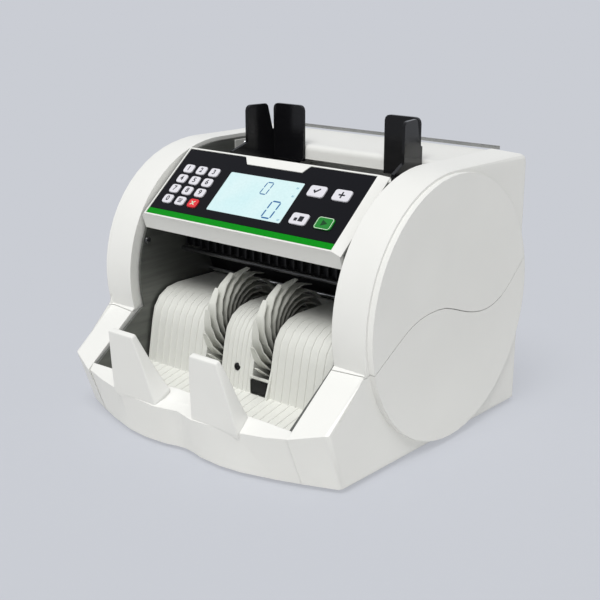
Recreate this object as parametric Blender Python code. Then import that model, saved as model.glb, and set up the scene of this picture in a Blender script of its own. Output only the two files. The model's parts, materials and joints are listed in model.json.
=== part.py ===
"""Banknote counter: a desktop machine that feeds notes from a hopper, counts and stacks them.

Lengths are in metres and +Z is up. The machine faces -Y, and it is alike left and right.
Every piece is placed in the housing's frame: Y is zero at the foot of the front cheeks and
Z is zero under the housing. The empty counter_origin carries them all, and brings the
origin to the middle of the footprint at the level of the feet.
"""

import math

import bmesh
import bpy
from mathutils import Vector

# Clearances and walls that many pieces share
SEAT_GAP = 0.0003
RUN_GAP = 0.0006
OVERRUN = 0.002
SHELL = 0.003
SHEET = 0.002

# Housing: side covers are parts of a crown, a wide cylinder across the machine
INNER_HALF = 0.112
SIDE_WIDTH = 0.0305
OUTER_HALF = INNER_HALF + SIDE_WIDTH
DEPTH = 0.2436
CROWN_Y = 0.1333
CROWN_Z = 0.1097
CROWN_INNER_RADIUS = 0.1113
CROWN_TAPER = 0.0015
CROWN_OUTER_RADIUS = CROWN_INNER_RADIUS - CROWN_TAPER
REAR_CORNER = 0.008
RIM_ROUND = 0.0035
RETURN_EDGE = 0.012
DISC_INSET = 0.0018
DISC_RADIUS = CROWN_OUTER_RADIUS - DISC_INSET
DISC_PROUD = 0.005
DISC_ROUND = 0.003
SEAM_GAP = 0.0005
CROWN_STEPS = 22
CORNER_STEPS = 3
DISC_SEGMENTS = 56

# S-shaped seam between side cover and base: (share of depth, share of crown height)
SEAM_SHARES = (
    (0.02, 0.30),
    (0.109, 0.369),
    (0.222, 0.446),
    (0.308, 0.498),
    (0.397, 0.520),
    (0.491, 0.517),
    (0.590, 0.481),
    (0.663, 0.458),
    (0.747, 0.450),
    (0.831, 0.474),
    (0.904, 0.529),
    (0.981, 0.604),
    (1.06, 0.68),
)

# Cheeks: front corners of the base, with the inner and the outer side
CHEEK_FOOT_INNER_Y = -0.0121
CHEEK_NOSE_INNER = (-0.0289, 0.0414)
CHEEK_NOSE_OUTER = (-0.0174, 0.0490)
CHEEK_BACK_INNER_Z = 0.0836
CHEEK_BACK_OUTER_Z = 0.0820

# Base floor, feet
FLOOR_INSET = 0.0020
FLOOR_HALF = OUTER_HALF - FLOOR_INSET
FLOOR_FRONT = 0.001
FLOOR_LIP_GAP = 0.0012
FOOT_RADIUS = 0.009
FOOT_HEIGHT = 0.0035
FOOT_ROUND = 0.001
FOOT_INSET = 0.0245
FOOT_X = OUTER_HALF - FOOT_INSET
FOOT_FRONT = 0.022
FOOT_REAR_INSET = 0.0226
FOOT_REAR = DEPTH - FOOT_REAR_INSET

# Front lip: (x, foot y, front edge y, front edge z, back edge y, back edge z)
LIP_END_GAP = SEAT_GAP
LIP_LAST_SPAN = 0.0200
LIP_STATIONS = (
    (0.0, -0.0235, -0.0320, 0.0346, -0.0177, 0.0458),
    (0.0100, -0.0250, -0.0345, 0.0347, -0.0192, 0.0472),
    (0.0205, -0.0277, -0.0374, 0.0349, -0.0225, 0.0485),
    (0.0427, -0.0290, -0.0367, 0.0354, -0.0230, 0.0466),
    (0.0635, -0.0268, -0.0353, 0.0360, -0.0230, 0.0466),
    (INNER_HALF - LIP_LAST_SPAN, -0.0190, -0.0310, 0.0382, -0.0230, 0.0466),
    (INNER_HALF - LIP_END_GAP, -0.0121, -0.0272, 0.0410, -0.0230, 0.0462),
)
LIP_SAG = 0.0022
LIP_INNER_FOOT = (-0.0158, 0.0180)
LIP_THICKNESS = 0.010

# Prongs: levels from the foot up, each with its front and back edge
PRONG_FRONT = ((0.0300, -0.0335), (0.0360, -0.0366), (0.0530, -0.0399), (0.0700, -0.0433), (0.0925, -0.0480))
PRONG_BACK = ((0.0400, -0.0225), (0.0475, -0.0242), (0.0545, -0.0270), (0.0705, -0.0330), (0.0945, -0.0430))
PRONG_INNER_FRONT = (0.0210, 0.0205, 0.0235, 0.0265, 0.0320)
PRONG_INNER_BACK = (0.0165, 0.0145, 0.0185, 0.0255, 0.0320)
PRONG_OUTER = (0.0690, 0.0700, 0.0675, 0.0645, 0.0600)
PRONG_ROUND = 0.0016

# Stacker guide: tray floor and three ribbed humps, with a slot for each fan wheel
TRAY_FRONT = (-0.0156, 0.0239)
TRAY_LEAN = 0.0003
HUMP_FOOT = (0.0340, 0.0350)
HUMP_BEND = (0.0403, 0.0700)
HUMP_CONTROL = (0.0435, 0.0970)
HUMP_TOP = (0.0720, 0.0983)
HUMP_STEPS = 4
OUTER_HUMP_LOW = 0.0365
OUTER_HUMP_GAP = 0.0020
MIDDLE_HUMP_HALF = 0.0175
RIB_WIDTH = 0.0011
RIB_HEIGHT = 0.0007
RIB_DRAFT = 0.0002
RIB_PITCH = 0.0078
MIDDLE_RIB_PITCH = 0.0050
FIRST_OUTER_RIB = 0.0056
TRAY_RIB_PITCH = 0.0084
FIN_REACH = 0.0042
FIN_TOP = 0.0600
FIN_WIDTH = 0.0020
SENSOR_BAR = (0.0476, 0.0494)
SENSOR_BAR_PROUD = 0.0014
SENSOR_BAR_DEPTH = 0.0020
SCREW_Z = 0.0526
SCREW_RADIUS = 0.0031
SCREW_HEAD = 0.0018
SCREW_SLOT = 0.0009

# Fan wheels and their shaft
FAN_Y = 0.0715
FAN_Z = 0.0795
FAN_RADIUS = 0.0450
FAN_HUB = 0.0140
FAN_X = 0.0270
FAN_WIDTH = 0.0160
FAN_BLADES = 14
FAN_BLADE = 0.0015
FAN_TIP_BLADE = 0.0007
FAN_SWEEP = 152.6
FAN_BLADE_STEPS = 9
FAN_TAPER_FROM = 0.0325
FAN_TIP_WIDTH = 0.0024
FAN_CLEARANCE = 0.0040
HUMP_REAR = FAN_Y + FAN_RADIUS + FAN_CLEARANCE
SHAFT_RADIUS = 0.0040
SHAFT_SEGMENTS = 16

# Control panel: a plane tilted back, whose local Y runs up the slope
PANEL_TILT = 40.5
PANEL_FRONT = (0.0338, 0.1692)
PANEL_CHAMFER = 0.0060
PANEL_SIDE_GAP = 0.0030
PANEL_SKIRT_HALF = INNER_HALF - PANEL_SIDE_GAP
PANEL_HALF = PANEL_SKIRT_HALF - PANEL_CHAMFER
PANEL_RISE = 0.0045
PANEL_RIM = 0.0017
RIM_HEIGHT = 0.0004
OVERLAY_HALF = PANEL_HALF - PANEL_RIM
OVERLAY_LENGTH = 0.0722
OVERLAY_THICKNESS = 0.0010
NOTCH_LEFT = 0.0359
NOTCH_RIGHT = 0.0356
NOTCH_FLOOR_LEFT = 0.0295
NOTCH_FLOOR_RIGHT = 0.0310
NOTCH_DEPTH = 0.0075
STRIPE_WIDTH = 0.0056
LIP_FACE_FOOT = (0.0389, 0.1542)
PANEL_UNDER_FRONT = (0.0600, 0.1650)
PANEL_UNDER_REAR = (0.0800, 0.1820)
HOPPER_FRONT_Y = 0.0970
HOPPER_FRONT_FOOT = 0.1860
HOPPER_FRONT_TOP = 0.2050

# Display window and keys, in the panel's plane
KEY_BLOCK = 0.0611
DISPLAY_HALF = OVERLAY_HALF - KEY_BLOCK
DISPLAY_LOW = 0.0144
DISPLAY_HIGH = 0.0552
DISPLAY_THICKNESS = 0.0020
DISPLAY_SUNK = 0.0002
DISPLAY_SILL = 0.0020
KEY_TRAVEL = 0.0006
KEY_PROUD = 0.0011
KEY_STEM = 0.0026
KEY_GAP = 0.00035
KEY_CHAMFER = 0.0004
NUMBER_KEY_SIZE = (0.0105, 0.0088)
NUMBER_KEY_INSET = 0.0139
NUMBER_KEY_LEFT = NUMBER_KEY_INSET - OVERLAY_HALF
NUMBER_KEY_TOP = 0.0510
NUMBER_KEY_PITCH = (0.0151, 0.0113)
FUNCTION_KEY_SIZE = (0.0167, 0.0109)
FUNCTION_KEY_INSET = 0.0198
FUNCTION_KEY_PITCH = 0.0250
FUNCTION_KEY_RIGHT = OVERLAY_HALF - FUNCTION_KEY_INSET
FUNCTION_KEY_LEFT = FUNCTION_KEY_RIGHT - FUNCTION_KEY_PITCH
FUNCTION_KEY_LOW = 0.0212
FUNCTION_KEY_HIGH = 0.0493
KEY_CORNER = 0.0022
WELL_MARGIN = 0.0020

# Side frames
FRAME_SIDE_GAP = 0.0015
FRAME_HALF = INNER_HALF - FRAME_SIDE_GAP
OUTER_HUMP_HIGH = FRAME_HALF - SHEET - OUTER_HUMP_GAP
FRAME_FOOT = 0.0050
FRAME_REAR_GAP = 0.0021
FRAME_REAR = DEPTH - SHELL - FRAME_REAR_GAP
FRAME_FRONT_INSET = 0.0083
FRAME_TOP_INSET = 0.0028
FRAME_FRONT_RADIUS = CROWN_INNER_RADIUS - FRAME_FRONT_INSET
FRAME_TOP_RADIUS = CROWN_INNER_RADIUS - FRAME_TOP_INSET
FRAME_REAR_TOP = 0.2022
FRAME_LIP_GAP = 0.0008
FRAME_CHEEK_DROP = 0.0012
FRAME_SCREW = (0.0399, 0.1422)

# Hopper: its floor slopes forward to the feed roller
HOPPER_LOW = (0.1040, 0.1680)
HOPPER_HIGH = (0.1770, 0.1969)
HOPPER_SHEET = 0.0025
WALL_Y = 0.1765
WALL_FOOT = 0.2025
WALL_TOP = 0.2095
TOP_FRONT = (0.1830, 0.2150)
TOP_REAR_Z = 0.2180
TOP_PLATE_OVERHANG = 0.0060
TOP_PLATE_REAR = DEPTH + TOP_PLATE_OVERHANG
TOP_PLATE_THICKNESS = 0.0030

# Rollers, each with its axis (y, z)
FEED_AXIS = (0.1070, 0.1530)
FEED_RADIUS = 0.0160
FEED_INNER = 0.0120
FEED_OUTER = 0.0340
PICKUP_AXIS = (0.1400, 0.1688)
PICKUP_RADIUS = 0.0140
PICKUP_INNER = 0.0200
PICKUP_OUTER = 0.0320
RETARD_AXIS = (0.0876, 0.1682)
RETARD_RADIUS = 0.0080
ROLLER_SEGMENTS = 24
SLOT_MARGIN = 0.0015

# Black note guides and bright tie rods
COMB_FRONT = 0.0820
COMB_REAR = 0.0880
COMB_LOW = 0.1305
COMB_HIGH = 0.1575
COMB_TEETH = 24
COMB_TOOTH = 0.0018
LOWER_GUIDE_STEP = 0.0005
LOWER_GUIDE_FOOT = (HUMP_REAR + LOWER_GUIDE_STEP, 0.0990)
LOWER_GUIDE_TOP = (0.1040, 0.1345)
ROD_RADIUS = 0.0020
FRONT_ROD = (0.0815, 0.1278)
REAR_ROD_INSET = 0.0060
REAR_ROD = (HUMP_REAR - REAR_ROD_INSET, 0.1030)

# Hopper guides, which slide sideways on a rail behind the hopper wall
GUIDE_FACE_Y = 0.1730
GUIDE_PLATE = 0.0030
GUIDE_SIDE_ROOM = 0.0315
GUIDE_WIDTH = 0.0340
GUIDE_OUTER = FRAME_HALF - GUIDE_SIDE_ROOM
GUIDE_INNER = GUIDE_OUTER - GUIDE_WIDTH
GUIDE_BACK_FOOT = 0.2007
GUIDE_FRONT = 0.1430
GUIDE_FLARE = 0.165
GUIDE_NOTCH_Z = 0.2270
GUIDE_NOTCH_TOP_Y = 0.1640
GUIDE_NOTCH_Y = 0.1712
GUIDE_FOOT_FRONT = 0.1260
GUIDE_FOOT_Z = 0.2110
GUIDE_FOOT_TOP = 0.2175
GUIDE_RISE = 0.0330
GUIDE_TOP = GUIDE_FOOT_TOP + GUIDE_RISE
GUIDE_FLOOR_GAP = 0.0007
GUIDE_CORNER = 0.0050
RAIL_AXIS = (0.1865, 0.1880)
RAIL_RADIUS = 0.0030
ARM_LOW = 0.1980
ARM_HIGH = 0.2010
SLIDER_HALF_LENGTH = 0.0090
SLIDER_HALF = 0.0060

# Drive: motor, pulleys and one toothed belt in the right cover
MOTOR_REAR_ROOM = 0.0536
MOTOR_AXIS = (DEPTH - MOTOR_REAR_ROOM, 0.0600)
MOTOR_RADIUS = 0.0240
MOTOR_LENGTH = 0.0600
MOTOR_PULLEY = 0.0080
FEED_PULLEY = 0.0120
FAN_PULLEY = 0.0240
PULLEY_GAP = 0.0045
PULLEY_LOW = FRAME_HALF + PULLEY_GAP
PULLEY_WIDTH = 0.0085
PULLEY_FLANGE = 0.0012
PULLEY_FLANGE_RISE = 0.0022
BELT_THICKNESS = 0.0014
BELT_SIDE_GAP = 0.0004
MOTOR_SHAFT = 0.0030

# Electrics
BOARD_REAR_ROOM = 0.0176
BOARD_SIDE_ROOM = 0.0255
BOARD_Y = DEPTH - BOARD_REAR_ROOM
BOARD_HALF = FRAME_HALF - BOARD_SIDE_ROOM
BOARD_LOW = 0.1050
BOARD_HIGH = 0.1800
BOARD_THICKNESS = 0.0016
STANDOFF_RADIUS = 0.0035
SUPPLY_SIDE_ROOM = 0.0125
SUPPLY_WIDTH = 0.0600
SUPPLY_FRONT_ROOM = 0.0070
SUPPLY_REAR_ROOM = 0.0486
SUPPLY_TOP = 0.0480
SUPPLY_LEFT = SUPPLY_SIDE_ROOM - FRAME_HALF
SUPPLY_LOW = (SUPPLY_LEFT, HUMP_REAR + SUPPLY_FRONT_ROOM, SHELL + SEAT_GAP)
SUPPLY_HIGH = (SUPPLY_LEFT + SUPPLY_WIDTH, DEPTH - SUPPLY_REAR_ROOM, SUPPLY_TOP)

# Rear panel with vents, inlet and switch
REAR_PANEL_TOP = 0.2110
VENT_LENGTH = 0.0600
VENT_HEIGHT = 0.0035
VENT_PITCH = 0.0085
VENT_ROWS = 6
VENT_LOW = 0.1080
VENT_X = 0.0480
INLET_X = -0.0700
INLET_Z = 0.0420
INLET_SIZE = (0.0275, 0.0200)
INLET_DEPTH = 0.0220
INLET_FLANGE = 0.0022
INLET_SOCKET = (0.0240, 0.0160)
INLET_SOCKET_DEPTH = 0.0160
PIN_SIZE = (0.0020, 0.0060)
PIN_LENGTH = 0.0120
PIN_SPREAD = 0.0070
SWITCH_X = -0.0380
SWITCH_HALF_WIDTH = 0.0068
SWITCH_HALF_HEIGHT = 0.0105
SWITCH_DEPTH = 0.0080
SWITCH_PROUD = 0.0030
SWITCH_TILT = 8
SWITCH_RIM = 0.0022
SWITCH_PIVOT_DEPTH = 0.0040
SWITCH_PIVOT_Y = DEPTH - SWITCH_PIVOT_DEPTH

# Where the origin lies in the housing's frame
PRONG_TIP_Y = PRONG_FRONT[-1][1]
ORIGIN_Y = (PRONG_TIP_Y + TOP_PLATE_REAR) / 2


def crown_top(radius):
    return CROWN_Z + radius


def clear_scene():
    for old in list(bpy.data.objects):
        bpy.data.objects.remove(old, do_unlink=True)


def material(name, colour, roughness, metallic=0.0):
    """A Principled material, made once and then shared."""
    found = bpy.data.materials.get(name)
    if found:
        return found
    made = bpy.data.materials.new(name)
    made.use_nodes = True
    shader = made.node_tree.nodes["Principled BSDF"]
    shader.inputs["Base Color"].default_value = (*colour, 1.0)
    shader.inputs["Roughness"].default_value = roughness
    shader.inputs["Metallic"].default_value = metallic
    made.diffuse_color = (*colour, 1.0)
    return made


def white_plastic():
    return material("white_plastic", (0.86, 0.86, 0.83), 0.42)


def black_plastic():
    return material("black_plastic", (0.015, 0.015, 0.018), 0.22)


def overlay_black():
    return material("overlay_black", (0.010, 0.011, 0.014), 0.30)


def fan_rubber():
    return material("fan_plastic", (0.74, 0.74, 0.68), 0.50)


def grey_metal():
    return material("grey_metal", (0.22, 0.23, 0.21), 0.45, 0.7)


def bright_metal():
    return material("bright_metal", (0.65, 0.65, 0.66), 0.22, 1.0)


def dark_rubber():
    return material("dark_rubber", (0.03, 0.03, 0.03), 0.75)


def key_white():
    return material("key_white", (0.78, 0.77, 0.82), 0.38)


def key_green():
    return material("key_green", (0.0, 0.36, 0.06), 0.38)


def key_red():
    return material("key_red", (0.72, 0.03, 0.04), 0.38)


def stripe_green():
    return material("stripe_green", (0.0, 0.30, 0.02), 0.35)


def display_glass():
    return material("display_glass", (0.55, 0.88, 0.95), 0.10)


def clear_plastic():
    return material("clear_plastic", (0.62, 0.66, 0.62), 0.10)


def board_green():
    return material("board_green", (0.02, 0.20, 0.08), 0.50)


def new_object(name, mesh_maker, finish, parent, location=(0, 0, 0), smooth=True):
    """An object with flat faces that look outwards, hung on its parent."""
    bmesh.ops.recalc_face_normals(mesh_maker, faces=mesh_maker.faces)
    bmesh.ops.connect_verts_nonplanar(mesh_maker, angle_limit=FLAT_ANGLE, faces=mesh_maker.faces)
    mesh = bpy.data.meshes.new(name)
    mesh_maker.to_mesh(mesh)
    mesh_maker.free()
    made = bpy.data.objects.new(name, mesh)
    bpy.context.scene.collection.objects.link(made)
    made.parent = parent
    made.location = location
    if finish:
        mesh.materials.append(finish)
    if smooth:
        mesh.shade_smooth()
        mesh.set_sharp_from_angle(angle=math.radians(SMOOTH_ANGLE))
    return made


SMOOTH_ANGLE = 32
FLAT_ANGLE = 0.002


def new_empty(name, parent, location, tilt=0):
    made = bpy.data.objects.new(name, None)
    bpy.context.scene.collection.objects.link(made)
    made.parent = parent
    made.location = location
    made.rotation_euler = (math.radians(tilt), 0, 0)
    return made


def as_helper(tool):
    tool.hide_render = True
    tool.display_type = "WIRE"
    return tool


def boolean(target, tool, operation):
    modifier = target.modifiers.new(operation.lower(), "BOOLEAN")
    modifier.operation = operation
    modifier.object = as_helper(tool)


def cut(target, *tools):
    for tool in tools:
        boolean(target, tool, "DIFFERENCE")


def join(target, *tools):
    for tool in tools:
        boolean(target, tool, "UNION")


def keep_inside(target, tool):
    boolean(target, tool, "INTERSECT")


def ring_faces(maker, rings, closed=False):
    """Quads between rings of vertices, one ring after the other."""
    pairs = list(zip(rings, rings[1:]))
    if closed:
        pairs.append((rings[-1], rings[0]))
    for lower, upper in pairs:
        for here in range(len(lower)):
            there = (here + 1) % len(lower)
            maker.faces.new((lower[here], lower[there], upper[there], upper[here]))


def loft_mesh(sections):
    """A solid through closed sections with as many points each, with flat ends."""
    maker = bmesh.new()
    rings = [[maker.verts.new(point) for point in section] for section in sections]
    ring_faces(maker, rings)
    maker.faces.new(rings[0])
    maker.faces.new(rings[-1])
    return maker


def side_section(outline, x):
    return [(x, y, z) for y, z in outline]


def prism_mesh(outline, low, high):
    """The (y, z) outline carried from x = low to x = high."""
    return loft_mesh([side_section(outline, low), side_section(outline, high)])


def box_mesh(low, high):
    outline = [(low[1], low[2]), (high[1], low[2]), (high[1], high[2]), (low[1], high[2])]
    return prism_mesh(outline, low[0], high[0])


def turned_mesh(profile, segments, bored=False):
    """The (x, radius) profile turned round the X axis."""
    maker = bmesh.new()
    rings = []
    for x, radius in profile:
        ring = []
        for index in range(segments):
            angle = 2 * math.pi * index / segments
            ring.append(maker.verts.new((x, radius * math.cos(angle), radius * math.sin(angle))))
        rings.append(ring)
    ring_faces(maker, rings, bored)
    if not bored:
        maker.faces.new(rings[0])
        maker.faces.new(rings[-1])
    return maker


def plate_mesh(outline, low, high):
    """The (x, y) outline carried from z = low to z = high."""
    return loft_mesh([[(x, y, low) for x, y in outline], [(x, y, high) for x, y in outline]])


def add_prism(into, outline, low, high):
    """Adds the (x, y) outline, carried from z = low to z = high, to a mesh of cutters."""
    rings = [[into.verts.new((x, y, z)) for x, y in outline] for z in (low, high)]
    ring_faces(into, rings)
    into.faces.new(rings[0])
    into.faces.new(rings[1])


def rounded_rectangle(centre, size, radius, steps=2):
    points = []
    corners = ((1, 1, 0), (-1, 1, 90), (-1, -1, 180), (1, -1, 270))
    for along, up, start in corners:
        middle_x = centre[0] + along * (size[0] / 2 - radius)
        middle_y = centre[1] + up * (size[1] / 2 - radius)
        points += arc(middle_x, middle_y, radius, start, start + 90, steps)
    return points


def arc(centre_a, centre_b, radius, start, end, steps):
    """Points on an arc, with the angles in degrees."""
    points = []
    for index in range(steps + 1):
        angle = math.radians(start + (end - start) * index / steps)
        points.append((centre_a + radius * math.cos(angle), centre_b + radius * math.sin(angle)))
    return points


def offset_path(points, distance, closed=False):
    """The path moved to its left by distance, with mitred corners."""
    moved = []
    count = len(points)
    for index, point in enumerate(points):
        before = points[index - 1] if closed or index else None
        after = points[(index + 1) % count] if closed or index < count - 1 else None
        normals = []
        for start, end in ((before, point), (point, after)):
            if start is None or end is None:
                continue
            along = Vector((end[0] - start[0], end[1] - start[1])).normalized()
            normals.append(Vector((-along.y, along.x)))
        middle = sum(normals, Vector((0, 0))).normalized()
        reach = distance / middle.dot(normals[0])
        moved.append((point[0] + middle.x * reach, point[1] + middle.y * reach))
    return moved


def smooth_path(points, steps):
    """A Catmull-Rom curve through the points between the first and the last."""
    path = []
    for first, start, end, last in zip(points, points[1:], points[2:], points[3:]):
        for index in range(steps):
            t = index / steps
            path.append(tuple(catmull_rom(a, b, c, d, t) for a, b, c, d in zip(first, start, end, last)))
    path.append(points[-2])
    return path


def catmull_rom(before, start, end, after, t):
    bend = 2 * before - 5 * start + 4 * end - after
    swing = 3 * start - before - 3 * end + after
    return start + (end - before) * t / 2 + bend * t * t / 2 + swing * t**3 / 2


def round_edges(target, width, segments=2):
    modifier = target.modifiers.new("round", "BEVEL")
    modifier.width = width
    modifier.segments = segments
    modifier.limit_method = "ANGLE"


def round_rim(maker, x, width, segments):
    """Bevels the edges that lie in the plane at x."""
    rim = [edge for edge in maker.edges if all(abs(v.co.x - x) < SAME_PLANE for v in edge.verts)]
    bmesh.ops.bevel(maker, geom=rim, offset=width, segments=segments, affect="EDGES", profile=0.5)


SAME_PLANE = 1e-6


def shaft_cutter(name, parent, axis, radius, low, high):
    """A round cutter along X at the axis (y, z)."""
    profile = [(low, radius), (high, radius)]
    maker = turned_mesh(profile, SHAFT_SEGMENTS)
    return as_helper(new_object(name, maker, None, parent, (0, *axis)))


# Side covers and base


def side_outline(radius, foot_y, nose, cheek_z):
    """Side view of the housing: straight foot and back, crown and sloping cheek."""
    top = crown_top(radius)
    lowest = 180 + math.degrees(math.asin((CROWN_Z - cheek_z) / radius))
    outline = [(foot_y, 0), (DEPTH, 0)]
    outline += arc(DEPTH - REAR_CORNER, top - REAR_CORNER, REAR_CORNER, 0, 90, CORNER_STEPS)
    outline += arc(CROWN_Y, CROWN_Z, radius, 90, lowest, CROWN_STEPS)
    outline.append(nose)
    return outline


def inner_outline():
    return side_outline(CROWN_INNER_RADIUS, CHEEK_FOOT_INNER_Y, CHEEK_NOSE_INNER, CHEEK_BACK_INNER_Z)


def outer_outline():
    return side_outline(CROWN_OUTER_RADIUS, 0, CHEEK_NOSE_OUTER, CHEEK_BACK_OUTER_Z)


def seam_path():
    height = crown_top(CROWN_OUTER_RADIUS)
    return smooth_path([(DEPTH * y, height * z) for y, z in SEAM_SHARES], 2)


def seam_cutter(parent, above):
    """All that lies above the seam, or below it, with half of the seam's gap."""
    path = offset_path(seam_path(), -SEAM_GAP / 2 if above else SEAM_GAP / 2)
    far = 2 * crown_top(CROWN_INNER_RADIUS) if above else -crown_top(CROWN_INNER_RADIUS)
    front = [(-DEPTH, path[0][1])]
    rear = [(path[-1][0] + DEPTH, path[-1][1])]
    outline = front + path + rear + [(rear[0][0], far), (-DEPTH, far)]
    reach = 2 * OUTER_HALF
    name = "above_seam" if above else "below_seam"
    return as_helper(new_object(name, prism_mesh(outline, -reach, reach), None, parent))


def side_shell(name, parent, side):
    """The whole hollow side of the housing with its proud disc, before the seam splits it."""
    sections = [side_section(inner_outline(), side * INNER_HALF)]
    sections.append(side_section(outer_outline(), side * OUTER_HALF))
    maker = loft_mesh(sections)
    round_rim(maker, side * OUTER_HALF, RIM_ROUND, 2)
    shell = new_object(name, maker, white_plastic(), parent)
    join(shell, side_disc(name, parent, side))
    cavity_inner = offset_path(inner_outline(), SHELL, closed=True)
    cavity_outer = offset_path(outer_outline(), SHELL, closed=True)
    sections = [side_section(cavity_inner, side * (INNER_HALF + SHEET))]
    sections.append(side_section(cavity_outer, side * (OUTER_HALF - SHELL)))
    cavity = new_object(name + "_cavity", loft_mesh(sections), None, parent)
    window = frame_window()
    mouth = prism_mesh(window, side * (INNER_HALF - OVERRUN), side * (INNER_HALF + 2 * SHEET))
    cut(shell, cavity, new_object(name + "_mouth", mouth, None, parent))
    return shell


def frame_window():
    """Opening inside the return edge, which leaves the cheek and the crown a rim."""
    radius = CROWN_INNER_RADIUS - RETURN_EDGE
    top = crown_top(radius)
    outline = [(RETURN_EDGE, RETURN_EDGE / 2), (DEPTH - RETURN_EDGE, RETURN_EDGE / 2)]
    outline += [(DEPTH - RETURN_EDGE, top), (CROWN_Y, top)]
    outline += arc(CROWN_Y, CROWN_Z, radius, 90, 200, CROWN_STEPS)[1:]
    return outline


def side_disc(name, parent, side):
    face = OUTER_HALF + DISC_PROUD
    profile = [(side * (OUTER_HALF - SHELL / 2), DISC_RADIUS), (side * face, DISC_RADIUS)]
    maker = turned_mesh(profile, DISC_SEGMENTS)
    round_rim(maker, side * face, DISC_ROUND, 2)
    return new_object(name + "_disc", maker, None, parent, (0, CROWN_Y, CROWN_Z))


def side_cover(name, parent, side):
    cover = side_shell(name, parent, side)
    cut(cover, seam_cutter(parent, above=False))
    return cover


def floor_outline():
    """The floor seen from above: its front follows the foot of the lip."""
    rear = DEPTH - SHELL - SEAT_GAP
    front = [(x, foot_y + LIP_THICKNESS + FLOOR_LIP_GAP) for x, foot_y, *rest in LIP_STATIONS]
    half = [(0, rear), (FLOOR_HALF, rear), (FLOOR_HALF, FLOOR_FRONT)] + front[::-1]
    return half + [(-x, y) for x, y in half[-2:1:-1]] + [(-FLOOR_HALF, rear)]


def base_housing(parent):
    """Floor, cheeks and the lower part of both sides, up to the seam."""
    base = new_object("base_housing", plate_mesh(floor_outline(), 0, SHELL), white_plastic(), parent)
    for side in (-1, 1):
        lower = side_shell("base_side", parent, side)
        cut(lower, seam_cutter(parent, above=True))
        join(base, lower)
    return base


def foot(name, parent, x, y):
    profile = [(-FOOT_HEIGHT, FOOT_RADIUS - FOOT_ROUND), (FOOT_ROUND - FOOT_HEIGHT, FOOT_RADIUS)]
    profile.append((-SEAT_GAP, FOOT_RADIUS))
    made = new_object(name, turned_mesh(profile, SHAFT_SEGMENTS), dark_rubber(), parent, (x, y, 0))
    made.rotation_euler = (0, -math.pi / 2, 0)
    return made


# Front lip


def lip_section(station):
    """Skirt, sloping top that sags towards the middle, and inner wall."""
    x, foot_y, front_y, front_z, back_y, back_z = station
    sag = LIP_SAG * max(0, 1 - abs(x) / LIP_STATIONS[3][0])
    middle = ((front_y + back_y) / 2 + sag, (front_z + back_z) / 2 - sag)
    outline = [(foot_y, 0), (front_y, front_z), middle, (back_y, back_z)]
    outline += [LIP_INNER_FOOT, (foot_y + LIP_THICKNESS, 0)]
    return outline


def front_lip(parent):
    stations = [(-x, *rest) for x, *rest in reversed(LIP_STATIONS[1:])] + list(LIP_STATIONS)
    sections = [side_section(lip_section(station), station[0]) for station in stations]
    lip = new_object("front_lip", loft_mesh(sections), white_plastic(), parent)
    for side in (-1, 1):
        join(lip, prong(parent, side))
    return lip


def prong(parent, side):
    """A blade that leans forward and narrows to its top."""
    sections = []
    levels = zip(PRONG_FRONT, PRONG_BACK, PRONG_INNER_FRONT, PRONG_INNER_BACK, PRONG_OUTER)
    for (front_z, front_y), (back_z, back_y), inner_front, inner_back, outer in levels:
        section = [(side * inner_front, front_y, front_z), (side * outer, front_y, front_z)]
        section += [(side * outer, back_y, back_z), (side * inner_back, back_y, back_z)]
        sections.append(section)
    made = new_object("prong", loft_mesh(sections), None, parent)
    round_edges(made, PRONG_ROUND)
    return made


# Stacker guide


def hump_face():
    """The hump's side view from inside the floor up over its front to its rear."""
    drop = SHELL / 2
    path = [(HUMP_FOOT[0] - drop / slope(HUMP_FOOT, HUMP_BEND), HUMP_FOOT[1] - drop)]
    for index in range(HUMP_STEPS + 1):
        t = index / HUMP_STEPS
        path.append(tuple(curve(a, b, c, t) for a, b, c in zip(HUMP_BEND, HUMP_CONTROL, HUMP_TOP)))
    path.append((HUMP_REAR - SHELL / 2, HUMP_TOP[1]))
    return path


def curve(start, control, end, t):
    return start * (1 - t) ** 2 + 2 * control * t * (1 - t) + end * t * t


def rib_stations(low, high, first, pitch):
    """(x, raised) from low to high, with a rib at each pitch from the first."""
    stations = [(low, 0)]
    x = first
    while x + RIB_WIDTH < high:
        end = x + RIB_WIDTH
        stations += [(x - RIB_DRAFT, 0), (x, 1), (end, 1), (end + RIB_DRAFT, 0)]
        x += pitch
    stations.append((high, 0))
    return stations


def ribbed_mesh(path, closing, stations, plain=0):
    """The path closed by the closing points and carried along X, raised at each rib.

    The last plain points of the path stay level, so the ribs run out before them.
    """
    raised = offset_path(path, RIB_HEIGHT)
    raised = raised[: len(path) - plain] + path[len(path) - plain :]
    sections = []
    for x, up in stations:
        sections.append(side_section((raised if up else path) + closing, x))
    return loft_mesh(sections)


def hump(name, parent, low, high, first, pitch):
    """A solid hump; its cavity is cut from below, which leaves its walls."""
    floor_z = HUMP_FOOT[1] - SHELL / 2
    rear = HUMP_REAR - SHELL / 2
    closing = [(rear, floor_z)]
    stations = rib_stations(low, high, first, pitch)
    return new_object(name, ribbed_mesh(hump_face(), closing, stations, plain=2), None, parent)


def hump_fin(name, parent, low):
    """A thin wall along the slot that stands proud of the hump's foot."""
    foot_y, foot_z = HUMP_FOOT
    bend = slope(HUMP_FOOT, HUMP_BEND)
    low_z = foot_z - SHELL / 2
    low_y = foot_y - SHELL / 2 / bend
    top_y = foot_y + (FIN_TOP - foot_z) / bend
    outline = [(low_y - FIN_REACH, low_z), (low_y + SHELL, low_z), (top_y + SHELL, FIN_TOP), (top_y + SEAT_GAP, FIN_TOP)]
    return new_object(name, prism_mesh(outline, low, low + FIN_WIDTH), None, parent)


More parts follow.
